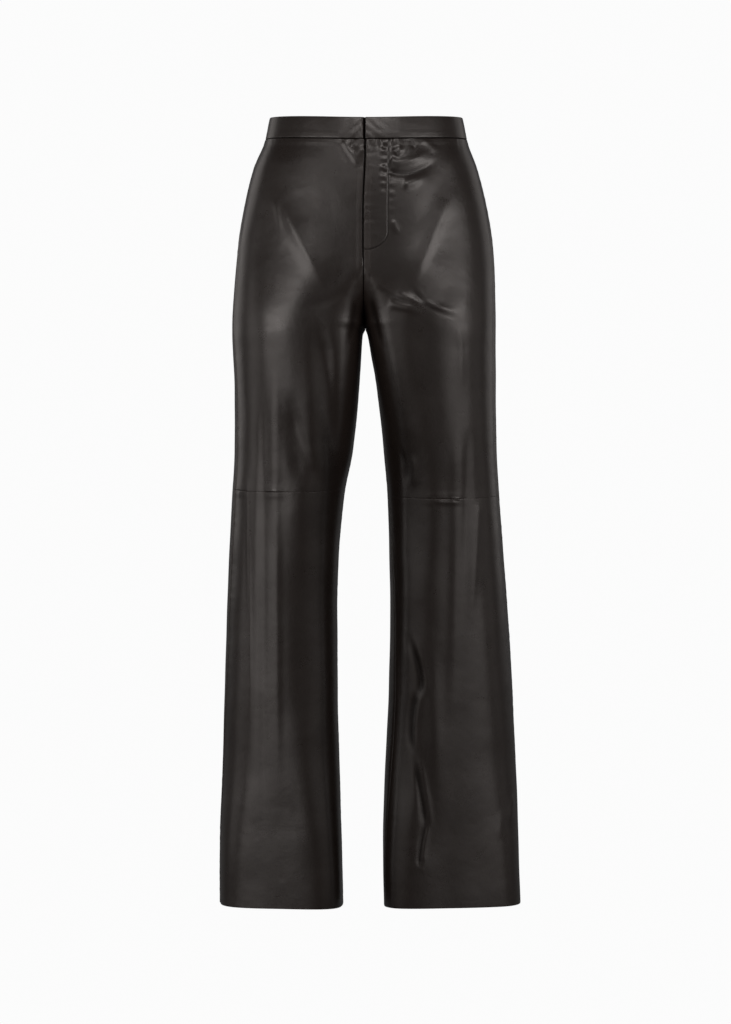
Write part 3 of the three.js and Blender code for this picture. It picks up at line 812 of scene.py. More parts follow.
def front_point(x: np.ndarray, z: np.ndarray, out: float = 0.0) -> tuple[np.ndarray, np.ndarray]:
    """Points of the draped front at distances x left of the middle plane (right is negative)."""
    x, z = np.broadcast_arrays(np.asarray(x, dtype=float), np.asarray(z, dtype=float))
    left_point, left_normal = leather_point(LEFT, LEFT.front_angle(x, z), z, out)
    right_point, right_normal = leather_point(RIGHT, RIGHT.front_angle(x, z), z, out)
    is_left = (x >= 0)[..., None]
    return np.where(is_left, left_point, right_point), np.where(is_left, left_normal, right_normal)


def grid_mesh(
    name: str,
    points: np.ndarray,
    flipped: bool = False,
    keep: np.ndarray | None = None,
    attributes: dict[str, np.ndarray] | None = None,
    uv: np.ndarray | None = None,
    closed: bool = False,
) -> bpy.types.Object:
    """A mesh of four-sided faces between the neighbours in a grid of points.

    Args:
        name: the piece's name.
        points: rows by columns of points, in millimetres.
        flipped: turn the faces round.
        keep: for each face of the grid, whether it is made.
        attributes: a number for each point under each name, for the materials to read.
        uv: rows by columns of two numbers.
        closed: join the last column to the first.

    Returns:
        The object, linked to the scene, at the origin.
    """
    rows, cols = points.shape[:2]
    index = np.arange(rows * cols).reshape(rows, cols)
    if closed:
        index = np.concatenate([index, index[:, :1]], axis=1)
    quads = np.stack([index[:-1, :-1], index[1:, :-1], index[1:, 1:], index[:-1, 1:]], axis=-1)
    quads = quads[keep] if keep is not None else quads.reshape(-1, 4)
    if flipped:
        quads = quads[:, ::-1]
    used, faces = np.unique(quads, return_inverse=True)
    return mesh_object(
        name,
        points.reshape(-1, 3)[used],
        faces.reshape(-1, 4),
        {key: value.reshape(-1)[used] for key, value in (attributes or {}).items()},
        None if uv is None else uv.reshape(-1, 2)[used],
    )


def mesh_object(
    name: str,
    points: np.ndarray,
    faces: np.ndarray,
    attributes: dict[str, np.ndarray] | None = None,
    uv: np.ndarray | None = None,
) -> bpy.types.Object:
    """A smooth-shaded mesh object from arrays, scaled from millimetres to metres.

    Args:
        name: the piece's name.
        points: one row for each vertex, in millimetres.
        faces: one row of vertex numbers for each face, all of one length.
        attributes: a number for each vertex under each name.
        uv: two numbers for each vertex.

    Returns:
        The object, linked to the scene, at the origin.
    """
    sides = faces.shape[1]
    mesh = bpy.data.meshes.new(name)
    mesh.vertices.add(len(points))
    mesh.vertices.foreach_set("co", (points * MM).ravel())
    mesh.loops.add(faces.size)
    mesh.loops.foreach_set("vertex_index", faces.ravel().astype(np.int32))
    mesh.polygons.add(len(faces))
    mesh.polygons.foreach_set("loop_start", np.arange(0, faces.size, sides, dtype=np.int32))
    mesh.polygons.foreach_set("loop_total", np.full(len(faces), sides, dtype=np.int32))
    mesh.update(calc_edges=True)
    mesh.polygons.foreach_set("use_smooth", np.ones(len(faces), dtype=bool))
    if uv is not None:
        layer = mesh.uv_layers.new(name="cut")
        layer.data.foreach_set("uv", uv[faces.ravel()].ravel())
    for key, value in (attributes or {}).items():
        layer = mesh.attributes.new(key, "FLOAT", "POINT")
        layer.data.foreach_set("value", value.astype(np.float32))
    mesh.validate()
    obj = bpy.data.objects.new(name, mesh)
    bpy.context.scene.collection.objects.link(obj)
    return obj


def thicken(obj: bpy.types.Object, thickness: float) -> None:
    """Give a surface its thickness towards its inside, in millimetres."""
    solidify = obj.modifiers.new("thickness", "SOLIDIFY")
    solidify.thickness = thickness * MM
    solidify.offset = -1.0
    solidify.use_even_offset = False


def even_shares(length: np.ndarray, columns: int, fine_to: float) -> np.ndarray:
    """Distances from a row's start to its end: fine steps at both ends and even ones between.

    Args:
        length: the length of each row.
        columns: the number of even places between the two ends' steps.
        fine_to: the distance from the start to which the steps stay fine, or 0.

    Returns:
        Rows by columns of distances.
    """
    steps = np.array(EDGE_STEPS)
    first_steps = np.concatenate([steps, np.arange(steps[-1] + FINE_STEP, fine_to, FINE_STEP)])
    between = np.linspace(0.0, 1.0, columns + 2)[1:-1]
    first = np.broadcast_to(first_steps, (len(length), len(first_steps)))
    middle = first_steps[-1] + between * (length[:, None] - first_steps[-1] - steps[-1])
    last = length[:, None] - steps[::-1]
    return np.concatenate([first, middle, last], axis=1)


def measured(points: np.ndarray, axis: int) -> np.ndarray:
    """The distance passed along one axis of a grid of points, from its start."""
    step = np.linalg.norm(np.diff(points, axis=axis), axis=-1)
    start = np.zeros_like(np.take(step, [0], axis=axis))
    return np.concatenate([start, np.cumsum(step, axis=axis)], axis=axis)


@dataclass
class Puckers:
    """The leather's small swells beside a seam, where the thread draws it in."""

    height: float = 0.15
    length: float = 13.0
    reach: float = 9.0
    starts_over: float = 2.5
    swell: tuple[float, float, float] = (0.6, 0.4, 0.13)
    waves: tuple[tuple[float, float, float], ...] = ((1.0, 1.0, 1.0), (0.7, 0.617, 2.3), (0.5, 1.71, 4.1))

    def push(self, distance: np.ndarray, along: np.ndarray, seed: float) -> np.ndarray:
        """height times exp(-distance / reach) times a sum of three sines whose lengths don't divide evenly.

        Each wave has a share, a rate and a phase. A slower wave makes the whole row swell and die away.

        Args:
            distance: the distance from the seam.
            along: the distance along it.
            seed: a number that sets the waves' phases.

        Returns:
            The push at each point.
        """
        turn = 2.0 * math.pi * along / self.length
        wave = sum(share * np.sin(rate * turn + phase * seed) for share, rate, phase in self.waves)
        near = np.exp(-distance / self.reach) * smoothstep(0.0, self.starts_over, distance)
        least, more, rate = self.swell
        return self.height * wave * near * (least + more * np.sin(rate * turn + seed))


@dataclass
class SeamEdge:
    """How a panel's edge is made: rolled into the seam, with the pressed allowance faint beside it."""

    roll: float = 0.6
    allowance: float = 8.0
    allowance_height: float = 0.3
    allowance_soft: float = 1.6
    rises_over: float = 1.5
    puckers: Puckers = field(default_factory=Puckers)

    def push(self, distance: np.ndarray, along: np.ndarray, seed: float) -> np.ndarray:
        """A quarter circle down at the seam, a low step over the allowance, and the puckers.

        Args:
            distance: the distance from the seam.
            along: the distance along it.
            seed: a number that sets the puckers' phases.

        Returns:
            The push along the normal at each point.
        """
        turn = np.clip(1.0 - distance / self.roll, 0.0, 1.0)
        rolled = -self.roll * (1.0 - np.sqrt(1.0 - turn**2))
        ends = (self.allowance + self.allowance_soft, self.allowance - self.allowance_soft)
        step = self.allowance_height * smoothstep(*ends, distance)
        step = step * smoothstep(0.0, self.rises_over, distance)
        return rolled + step + self.puckers.push(distance, along, seed)


PLAIN_SEAM = SeamEdge()
KNEE_SEAM = SeamEdge(roll=0.3, allowance_height=0.25, puckers=Puckers(height=0.2, length=17.0))


def knee_tightness(across: np.ndarray) -> np.ndarray:
    """How strongly a knee seam shows: fully within the tight stretches, and KNEE_SLACK of that elsewhere.

    Args:
        across: distances across the garment.

    Returns:
        Shares between KNEE_SLACK and 1, rising smoothly at the stretches' ends.
    """
    tight = 0.0
    for start, end in KNEE_TIGHT:
        begun = smoothstep(start - KNEE_SOFT, start + KNEE_SOFT, across)
        tight = tight + begun * smoothstep(end + KNEE_SOFT, end - KNEE_SOFT, across)
    return mix(KNEE_SLACK, 1.0, tight)


@dataclass(frozen=True)
class Laid:
    """A panel's grid on the smooth form: points, normals, and distances across and down the panel."""

    point: np.ndarray
    normal: np.ndarray
    across: np.ndarray
    down: np.ndarray

    @property
    def from_end(self) -> np.ndarray:
        """Distances from the side seam."""
        return self.across[:, -1:] - self.across

    @property
    def from_bottom(self) -> np.ndarray:
        """Distances from the panel's lower edge."""
        return self.down[-1:, :] - self.down


@dataclass
class LeatherPanel:
    """One leather panel of a leg, its front or back above or below the knee seam."""

    leg: Leg
    face: Face
    part: Part
    cut: tuple[float, float, float] = (0.0, 0.0, 0.0)

    @property
    def node(self) -> str:
        """The name of the solid that this panel stands for."""
        return f"{self.face.value}_{self.part.value}_{self.leg.name}"

    @property
    def is_upper_front(self) -> bool:
        """Whether this is one of the two panels that meet at the fly."""
        return self.part is Part.UPPER and self.face is Face.FRONT

    @property
    def laps(self) -> bool:
        """Whether this panel runs on behind the fly."""
        return self.is_upper_front and self.leg is RIGHT

    @property
    def seed(self) -> float:
        """A number of the panel's own, which sets the phases of the puckers along its seams."""
        return 1.0 + 2.0 * (self.face is Face.BACK) + 0.7 * self.leg.sign + 3.1 * (self.part is Part.LOWER)

    @property
    def has_fly(self) -> bool:
        """Whether the fly is sewn down on this panel."""
        return self.is_upper_front and self.leg is LEFT

    def row_heights(self) -> tuple[np.ndarray, np.ndarray]:
        """Nominal heights of the rows at the side, and at the inner edge, where they fan out at the crotch.

        Returns:
            Two arrays, from the top down.
        """
        steps = np.array(EDGE_STEPS)
        knee = self.leg.knee
        if self.part is Part.LOWER:
            z = np.concatenate([
                knee - steps,
                np.arange(knee - steps[-1] - GRID_STEP, HEM_Z + HEM_STEPS[0] + 1.0, -GRID_STEP),
                HEM_Z + np.array(HEM_STEPS),
            ])
            return z, z
        waist = -BAND_HEIGHT / 2
        step = FLY_ROW_STEP if self.has_fly else GRID_STEP
        hip = np.arange(waist - steps[-1] - step, LAP_FLAT_Z + 0.5, -step)
        passed = np.linspace(0.0, 1.0, FORK_ROWS + 1)
        turn = math.asin(float(crotch_share(np.array(LAP_FLAT_Z), self.face.fork)))
        fork = mix(LAP_FLAT_Z, CROTCH_Z, passed)
        fork_edge = CROTCH_Z + self.face.fork * (1.0 - np.cos(turn * (1.0 - passed)))
        thigh = np.arange(CROTCH_Z - GRID_STEP, knee + steps[-1] + 1.0, -GRID_STEP)
        above = (waist - steps, hip)
        below = (thigh, knee + steps[::-1])
        return np.concatenate([*above, fork, *below]), np.concatenate([*above, fork_edge, *below])

    def laid_out(self, z_row: np.ndarray, edge_row: np.ndarray) -> Laid:
        """Spread the panel's grid over the smooth form, from its inner edge to the side seam.

        Args:
            z_row: the rows' nominal heights at the side.
            edge_row: their heights at the inner edge.

        Returns:
            The grid, with fine columns at both edges.
        """
        end = self.face.end
        rise = rise_at(np.array(end * math.pi / 2), z_row)
        section = self.leg.section(z_row + rise)
        seam_angle = section.angle_at(section.side_seam, 1)
        inseam = section.angle_at(np.minimum(section.inseam, -TINY_DEPTH), -1)
        if self.face is Face.BACK:
            inseam = inseam + 2 * math.pi
        middle = self.leg.section(edge_row + rise).middle_angle(self.face)
        edge_angle = np.where(z_row > CROTCH_Z, middle, inseam)
        farthest = CROTCH_Z if self.part is Part.UPPER else HEM_Z
        near_knee = smoothstep(farthest, self.leg.knee, z_row)

        def place(share: np.ndarray) -> tuple[np.ndarray, np.ndarray]:
            """Angles and nominal heights at shares of the way from the inner edge to the side seam."""
            angle = mix(edge_angle[:, None], seam_angle[:, None], share)
            z = mix(edge_row[:, None], z_row[:, None], smoothstep(0.0, FORK_FAN, share))
            knee_rise = KNEE_SEAM_RISE * (1.0 + np.sin(angle))
            return angle, z + knee_rise * near_knee[:, None]

        samples = np.linspace(0.0, 1.0, COARSE_COLUMNS)
        coarse = self.leg.point(*place(np.broadcast_to(samples, (len(z_row), len(samples)))))
        passed = measured(coarse, 1)
        columns = PANEL_COLUMNS[self.face.value]
        wanted = even_shares(passed[:, -1], columns, FLY_FINE_TO if self.has_fly else 0.0)
        share = np.stack([np.interp(want, have, samples) for want, have in zip(wanted, passed)])
        angle, z = place(share)
        point = self.leg.point(angle, z)
        return Laid(point, self.leg.normal(angle, z), measured(point, 1), measured(point, 0))

    def push(self, laid: Laid, z_row: np.ndarray) -> np.ndarray:
        """How far the leather stands off the smooth form: its drape, seams, side ridge, lap and fly.

        Args:
            laid: the panel's grid.
            z_row: the rows' heights.

        Returns:
            One distance along the normal for each point.
        """
        seed = self.seed
        push = drape(laid.point, laid.normal)
        push = push + PLAIN_SEAM.push(laid.across, laid.down, seed)
        push = push + PLAIN_SEAM.push(laid.from_end, laid.down, SIDE_SEED * seed)
        tight = knee_tightness(laid.point[..., 0])
        if self.part is Part.UPPER:
            push = push + PLAIN_SEAM.push(laid.down, laid.across, TOP_SEED * seed)
            push = push + tight * KNEE_SEAM.push(laid.from_bottom, laid.across, BOTTOM_SEED * seed)
        else:
            push = push + tight * KNEE_SEAM.push(laid.down, laid.across, TOP_SEED * seed)
        below_hips = smoothstep(*SIDE_RIDGE_BELOW, z_row)[:, None]
        push = push + SIDE_RIDGE * below_hips * bell(laid.from_end, SIDE_RIDGE_AT, SIDE_RIDGE_WIDTH)
        if self.laps:
            depth = LAP_DEPTH * smoothstep(LAP_FLAT_Z, LAP_ENDS_Z, z_row)[:, None]
            push = push - depth * (1.0 - smoothstep(*LAP_STEP, laid.across))
        if self.has_fly:
            push = push + FLY_SEWING.push(laid.point[..., 0], laid.point[..., 2])
        return push

    def painted_shade(self, laid: Laid, z_row: np.ndarray) -> np.ndarray:
        """How deep in a seam, trough or sewn line each point lies, as painted shade that darkens the leather.

        Args:
            laid: the panel's grid.
            z_row: the rows' heights.

        Returns:
            Shares from 0 to 1.
        """
        upper = self.part is Part.UPPER
        at_seam = smoothstep(*SEAM_DARK, np.minimum(laid.across, laid.from_end))
        at_knee = smoothstep(*KNEE_DARK, laid.from_bottom if upper else laid.down)
        painted_shade = np.maximum(SEAM_PAINTED_SHADE * at_seam, KNEE_PAINTED_SHADE * at_knee)
        painted_shade = np.maximum(painted_shade, HOLLOW_PAINTED_SHADE * hollow(laid.point, laid.normal))
        if upper:
            painted_shade = np.maximum(painted_shade, smoothstep(*WAIST_DARK, laid.down))
        if self.laps:
            lapping = smoothstep(LAP_FLAT_Z, LAP_ENDS_Z, z_row)[:, None]
            painted_shade = np.maximum(painted_shade, LAP_PAINTED_SHADE * smoothstep(*LAP_DARK, laid.across) * lapping)
        if self.has_fly:
            sewn = smoothstep(*FLY_DARK, np.abs(fly_distance(laid.point[..., 0], laid.point[..., 2])))
            painted_shade = np.maximum(painted_shade, FLY_PAINTED_SHADE * sewn)
        if self.is_upper_front:
            painted_shade = np.maximum(painted_shade, smoothstep(*MIDDLE_DARK, laid.across) * (z_row > CROTCH_Z)[:, None])
        return painted_shade

    def build(self) -> bpy.types.Object:
        """Work out the panel's surface: its grid on the form, then its push, its sides and its turned edges.

        Returns:
            The finished piece.
        """
        z_row, edge_row = self.row_heights()
        laid = self.laid_out(z_row, edge_row)
        leather = laid.point + laid.normal * self.push(laid, z_row)[..., None]
        leather = self.kept_to_side(leather, z_row)
        grid, (left, right, top, bottom) = self.with_turned_edges(leather, laid.normal, z_row)
        added = ((top, bottom), (left, right))

        edge_distance = np.minimum(np.minimum(laid.across, laid.from_end), laid.down)
        if self.part is Part.UPPER:
            edge_distance = np.minimum(edge_distance, laid.from_bottom)
        # The seam distances, and the painted shade in seams, troughs, at the lap and along the fly
        attributes = {
            "seam": np.pad(edge_distance, added),
            "painted_shade": np.pad(self.painted_shade(laid, z_row), added, mode="edge"),
        }
        cut = np.stack([np.pad(way, added, mode="edge") for way in (laid.across, laid.down)], axis=-1)
        rows, cols = grid.shape[:2]
        row_extra = np.ones(rows - 1, dtype=bool)
        row_extra[top : rows - 1 - bottom] = False
        col_extra = np.ones(cols - 1, dtype=bool)
        col_extra[left : cols - 1 - right] = False
        keep = ~(row_extra[:, None] & col_extra[None, :])
        flipped = (self.leg.sign > 0) == (self.face is Face.BACK)
        piece = grid_mesh(f"{self.node}_leather", drifted(grid), flipped, keep, attributes, cut * MM)
        thicken(piece, LEATHER_THICKNESS)
        self.cut = self.cut_size(laid.across, laid.down)
        return piece

    def kept_to_side(self, points: np.ndarray, z_row: np.ndarray) -> np.ndarray:
        """Keep the panel on its side of the middle plane, and its edge above the crotch right beside it.

        Args:
            points: the panel's points.
            z_row: the rows' heights.

        Returns:
            The points, moved where they would cross or leave a slit.
        """
        kept = points.copy()
        sign = self.leg.sign
        kept[..., 0] = sign * np.maximum(sign * kept[..., 0], MIDDLE_GAP)
        kept[z_row > CROTCH_Z, 0, 0] = sign * MIDDLE_GAP
        if self.laps:
            lapping = (z_row > LAP_ENDS_Z)[:, None]
            kept[..., 0] = np.where(lapping, np.minimum(points[..., 0], 0.0), kept[..., 0])
        return kept

    def with_turned_edges(
        self, leather: np.ndarray, normal: np.ndarray, z_row: np.ndarray
    ) -> tuple[np.ndarray, tuple[int, int, int, int]]:
        """Add the strips that turn in at the seams, run on behind the fly, and turn up inside the hem.

        A turned strip goes down from the edge along the normal. Behind the fly it goes across instead.

        Args:
            leather: the panel's points.
            normal: the form's normals.
            z_row: the rows' heights.

        Returns:
            The larger grid, and how many strips it has at the start, end, top and bottom.
        """
        depths = np.array(TURNED_EDGE)
        start = leather[:, :1] - normal[:, :1] * depths[::-1][None, :, None]
        finish = leather[:, -1:] - normal[:, -1:] * depths[None, :, None]
        start[z_row > CROTCH_Z, :, 0] = self.leg.sign * MIDDLE_GAP
        if self.laps:
            reach = FLY_LAP * smoothstep(LAP_ENDS_Z, LAP_NARROWS_Z, z_row)
            lapness = smoothstep(LAP_ENDS_Z, LAP_WHOLE_Z, z_row)
            over = np.linspace(1.0, 0.0, len(depths) + 1)[:-1]
            lap, _ = front_point(np.outer(reach, over), z_row[:, None], -LAP_DEPTH)
            start = mix(start, lap, lapness[:, None, None])
        wide = np.concatenate([start, leather, finish], axis=1)
        wide_normal = np.pad(normal, ((0, 0), (len(depths), len(depths)), (0, 0)), mode="edge")
        top = wide[:1] - wide_normal[:1] * depths[::-1][:, None, None]
        if self.part is Part.UPPER:
            bottom = wide[-1:] - wide_normal[-1:] * depths[:, None, None]
        else:
            level = unit(wide_normal[-1:] * LEVEL)
            up = np.concatenate([HEM_ROUND_UP, np.linspace(HEM_INSIDE_FROM, HEM_TURN_UP, HEM_INSIDE_ROWS)])
            depth = np.concatenate([HEM_ROUND_IN, np.full(HEM_INSIDE_ROWS, HEM_INSIDE_IN)])
            bottom = wide[-1:] - level * depth[:, None, None]
            bottom[..., 2] += up[:, None]
        grid = np.concatenate([top, wide, bottom], axis=0)
        return grid, (len(depths), len(depths), len(top), len(bottom))

    def cut_size(self, across: np.ndarray, down: np.ndarray) -> tuple[float, float, float]:
        """The panel's cut as modelled, turned edges and hem included: width, length and area, in metres."""
        width = float(across[:, -1].max())
        length = float(down[-1].max())
        row_gap = np.diff(down.mean(axis=1))
        area = float((0.5 * (across[1:, -1] + across[:-1, -1]) * row_gap).sum())
        edges = 2.0 * TURNED_EDGE[-1]
        hem = HEM_TURN_UP + HEM_ROUND if self.part is Part.LOWER else TURNED_EDGE[-1]
        area += edges * length + (hem + TURNED_EDGE[-1]) * across[-1, -1]
        return (width + edges) * MM, (length + hem + TURNED_EDGE[-1]) * MM, area * MM * MM


@dataclass
class BandStretch:
    """A stretch of the folded waistband, between two places that are given in turns round the waist.

    The tug is a fine rippling of the leather near the closing line, and the seam ridge lies just over the
    lower seam.
    """

    node: str
    start: float
    finish: float
    columns: int
    crown: float = 0.35
    corner: float = 1.1
    arc_places: int = 6
    side_places: int = 13
    step_back: float = 2.0
    dark_step: float = 1.6
    seed: float = 4.0
    tug: float = 0.3
    tug_lengths: tuple[float, float] = (2.6, 5.0)
    tug_lean: float = 0.3
    tug_phase: float = 0.6
    tug_reach: float = 26.0
    seam_ridge: float = 0.14
    seam_ridge_over: tuple[float, float] = (-5.5, -7.0)
    end_inset: float = 0.35
    length_m: float = 0.0

    def out_at(self, turn: np.ndarray) -> np.ndarray:
        """How far the band's face stands out. The right end steps back beside the centre front."""
        if self.node != "waistband_front_right":
            return np.full_like(turn, BAND_PROUD)
        back = BAND_PROUD - BAND_THICKNESS - 3 * SEAM_GAP - self.step_back
        return mix(BAND_PROUD, back, smoothstep(-front_turns(STEP_STARTS), -front_turns(STEP_ENDS), turn))

    def profile(self) -> tuple[np.ndarray, np.ndarray]:
        """The band's closed section: a rounded box, crowned outside, as heights and distances inwards.

        Returns:
            Heights above the band's middle, and distances in from its face, going up the outside.
        """
        half = BAND_HEIGHT / 2 - SEAM_GAP / 2
        r = self.corner
        arc = np.linspace(0.0, math.pi / 2, self.arc_places)
        side = np.linspace(-1.0, 1.0, self.side_places)
        crown = self.crown * (1.0 - side**2)
        up = np.concatenate([
            -half + r - r * np.cos(arc), side[1:-1] * (half - r), half - r + r * np.sin(arc),
            half - r + r * np.cos(arc), -side[1:-1] * (half - r), -half + r - r * np.sin(arc),
        ])
        back = BAND_THICKNESS
        inwards = np.concatenate([
            r - r * np.sin(arc), -crown[1:-1], r - r * np.cos(arc),
            back - r + r * np.sin(arc), np.full(self.side_places - 2, back), back - r + r * np.cos(arc),
        ])
        return up, inwards

    def build(self) -> bpy.types.Object:
        """Carry the section round the waist: each ring is the form's point moved along its level normal.

        Returns:
            The finished piece.
        """
        turn = np.linspace(self.start, self.finish, self.columns + 1)
        half_turn = 0.5
        place = np.where(turn > half_turn, turn - 1.0, turn)
        up, inwards = self.profile()
        shape = (len(turn), len(up))
        angle = np.broadcast_to((np.abs(place) * 2 * math.pi - math.pi / 2)[:, None], shape)
        height = np.broadcast_to(up[None, :], shape)
        is_right = (place < 0)[:, None, None]
        base = np.where(is_right, RIGHT.point(angle, height), LEFT.point(angle, height))
        normal = np.where(is_right, RIGHT.normal(angle, height), LEFT.normal(angle, height))
        along = measured(base[:, len(up) // 4][:, None, :], 0)[:, 0]
        swell = self.swell(base, up, along) * (inwards < BAND_THICKNESS / 2)
        out = self.out_at(turn)[:, None] - inwards[None, :] + swell
        points = base + unit(normal * LEVEL) * out[..., None]
        gap = SEAM_GAP / 4
        points[0] += unit(points[1] - points[0]) * gap
        points[-1] += unit(points[-2] - points[-1]) * gap
        points = self.capped(points)

        # Painted shade where the right front stretch steps back behind the left one, and along the band's
        # lower seam
        stepped = smoothstep(-front_turns(STEP_STARTS), -front_turns(self.dark_step), turn) * (self.start < 0)
        stepped = np.pad(stepped, 2, mode="edge")[:, None]
        seam = np.broadcast_to(np.abs(up + BAND_HEIGHT / 2), points.shape[:2])
        painted_shade = np.maximum(np.broadcast_to(stepped, points.shape[:2]), smoothstep(*BAND_DARK, seam))
        ends = np.pad(along, 2, mode="edge")
        uv = np.stack(np.broadcast_arrays(ends[:, None], up[None, :]), axis=-1)
        attributes = {"seam": seam, "painted_shade": painted_shade}
        piece = grid_mesh(f"{self.node}_leather", points, attributes=attributes, uv=uv * MM, closed=True)
        self.close_ends(piece)
        self.length_m = float(along[-1]) * MM
        return piece

    def swell(self, base: np.ndarray, up: np.ndarray, along: np.ndarray) -> np.ndarray:
        """How far the face stands out unevenly: puckers at the seam, ripples near the front, a low ridge.

        Args:
            base: the form's points, ring by ring.
            up: the section's heights.
            along: the distance passed along the band, one for each ring.

        Returns:
            One distance for each point.
        """
        pucker = Puckers(height=0.12, length=17.0, reach=14.0)
        swell = pucker.push(np.abs(up + BAND_HEIGHT / 2)[None, :], along[:, None], self.seed + self.start)
        front_y = LEFT.point(np.array(-math.pi / 2), np.array(0.0))[1]
        from_middle = np.hypot(base[..., 0], base[..., 1] - front_y)
        long, short = self.tug_lengths
        ripples = np.sin(from_middle / long + self.tug_lean * up) * np.sin(up / short + self.tug_phase)
        swell = swell + self.tug * ripples * bell(from_middle, 0.0, self.tug_reach)
        return swell + self.seam_ridge * smoothstep(*self.seam_ridge_over, up)[None, :]

    def capped(self, points: np.ndarray) -> np.ndarray:
        """Round the two ends: rings drawn in towards their own middles, just before each end."""
        first, last = points[:1], points[-1:]
        first_middle = first.mean(axis=1, keepdims=True)
        last_middle = last.mean(axis=1, keepdims=True)
        inset = self.end_inset
        first_in = unit(points[1:2] - first)
        last_in = unit(points[-2:-1] - last)
        rings = [
            first_middle + (first - first_middle) * (1.0 - 2.0 * inset),
            first + unit(first_middle - first) * inset * 0.3,
            np.concatenate([first + first_in * inset, points[1:-1], last + last_in * inset]),
            last + unit(last_middle - last) * inset * 0.3,
            last_middle + (last - last_middle) * (1.0 - 2.0 * inset),
        ]
        return np.concatenate(rings)

    def close_ends(self, piece: bpy.types.Object) -> None:
        """Close both ends of the band's mesh with one flat face each."""
        mesh = bmesh.new()
        mesh.from_mesh(piece.data)
        edges = [edge for edge in mesh.edges if edge.is_boundary]
        bmesh.ops.holes_fill(mesh, edges=edges, sides=0)
        bmesh.ops.recalc_face_normals(mesh, faces=mesh.faces)
        mesh.to_mesh(piece.data)
        mesh.free()


def front_turns(distance: float) -> float:
    """A distance across the front of the waist, in turns round it."""
    return distance / float(LEFT.section(np.array(0.0)).front.depth) / (2 * math.pi)


@dataclass
class ZipTape:
    """The closed zip behind the lapped fronts: a tape with two rows of coil teeth meeting at its middle."""

    centre_x: float = 12.0
    top_z: float = -19.0
    bottom_z: float = -160.0
    thickness: float = 1.0
    tape_out: float = -4.7
    left_tape_out: float = -1.7
    step_from: float = 6.0
    step_to: float = 9.0
    coil_half_width: float = 2.5
    coil_height: float = 1.3
    valley: float = 0.45
    pitch: float = 1.5
    row_step: float = 0.25
    coil_places: tuple[float, ...] = (0.2, 0.8, 1.5, 2.1, 2.42, 2.5)
    tape_places: tuple[float, ...] = (3.2, 8.0, 13.0)

    def teeth(self, across: np.ndarray, z: np.ndarray) -> np.ndarray:
        """How high the teeth stand: a squared-off wave down the zip, half a pitch apart on the two sides.

        Args:
            across: distances from the zip's middle, one for each column.
            z: heights, one for each row.

        Returns:
            The height of the coil over the tape, rows by columns.
        """
        phase = 2.0 * math.pi * z[:, None] / self.pitch + np.where(across > 0, math.pi, 0.0)
        tooth = smoothstep(-0.5, 0.5, np.cos(phase))
        rounded = np.sqrt(np.clip(1.0 - (across / self.coil_half_width) ** 2, 0.0, 1.0)) ** 0.5
        return self.coil_height * mix(self.valley, 1.0, tooth) * rounded

    def build(self) -> bpy.types.Object:
        """Lay the tape behind the fronts, raise the teeth on it, and close it round all its edges.

        Returns:
            The finished piece.
        """
        z = np.arange(self.top_z, self.bottom_z - self.row_step / 2, -self.row_step)
        coil = np.array(self.coil_places)
        tape = np.array(self.tape_places)
        step = (self.step_from, (self.step_from + self.step_to) / 2, self.step_to)
        across = np.concatenate([-tape[::-1], -coil[::-1], coil, tape[:1], step, tape[-1:]])
        lift = (self.left_tape_out - self.tape_out) * smoothstep(self.step_from, self.step_to, across)
        x = (self.centre_x + across)[None, :]
        front, _ = front_point(x, z[:, None], self.tape_out + lift + self.teeth(across, z))
        back, _ = front_point(x, z[:, None], self.tape_out + lift - self.thickness)
        middle = (front + back) / 2
        front = np.concatenate([middle[:1], front, middle[-1:]])
        back = np.concatenate([middle[:1], back, middle[-1:]])
        points = np.concatenate([front, back[:, ::-1]], axis=1)
        return grid_mesh("fly_zip_teeth", drifted(points), closed=True)


@dataclass
class Stitching:
    """A row of short thread stitches along a line on the front, each a small bent tube."""

    name: str
    pitch: float = 3.2
    length: float = 2.5
    radius: float = 0.24
    rings: int = 5
    sides: int = 6
    proud: float = 0.12
    sinks: float = 0.35
    least_width: float = 0.2

    def build(self, x: np.ndarray, z: np.ndarray) -> bpy.types.Object:
        """Lay stitches along a line given by distances from the middle plane and heights.

        A stitch's ring is its radius times sqrt(1 - s^2) wide, where s goes from -1 to 1 along it, and the
        ring's middle lies below the leather by the same measure at its ends.

        Args:
            x: distances across the front.
            z: heights.

        Returns:
            The finished piece, one mesh of all the stitches.
        """
        line, normal = front_point(x, z)
        line = drifted(line + normal * FLY_SEWING.push(line[:, 0], line[:, 2])[:, None])
        passed = measured(line[:, None, :], 0)[:, 0]
        count = int(passed[-1] // self.pitch)
        middle = (np.arange(count) + 0.5) * self.pitch
        s = np.linspace(-1.0, 1.0, self.rings)
        at = middle[:, None] + 0.5 * self.length * s
        centre = np.stack([np.interp(at, passed, line[:, k]) for k in range(3)], axis=-1)
        out = unit(np.stack([np.interp(at, passed, normal[:, k]) for k in range(3)], axis=-1))
        along = unit(np.gradient(centre, axis=1))
        side = unit(np.cross(along, out))
        wide = self.radius * np.maximum(self.least_width, np.sqrt(1.0 - s**2))
        centre = centre + out * (self.proud - self.sinks * s**2)[None, :, None]
        turn = np.linspace(0.0, 2 * math.pi, self.sides, endpoint=False)
        ring = side[:, :, None] * np.cos(turn)[:, None] + out[:, :, None] * np.sin(turn)[:, None]
        points = centre[:, :, None] + ring * wide[None, :, None, None]
        base = np.arange(count * self.rings * self.sides).reshape(count, self.rings, self.sides)
        beside = np.roll(base, -1, axis=2)
        faces = np.stack([base[:, :-1], beside[:, :-1], beside[:, 1:], base[:, 1:]], axis=-1).reshape(-1, 4)
        return mesh_object(self.name, points.reshape(-1, 3), faces)


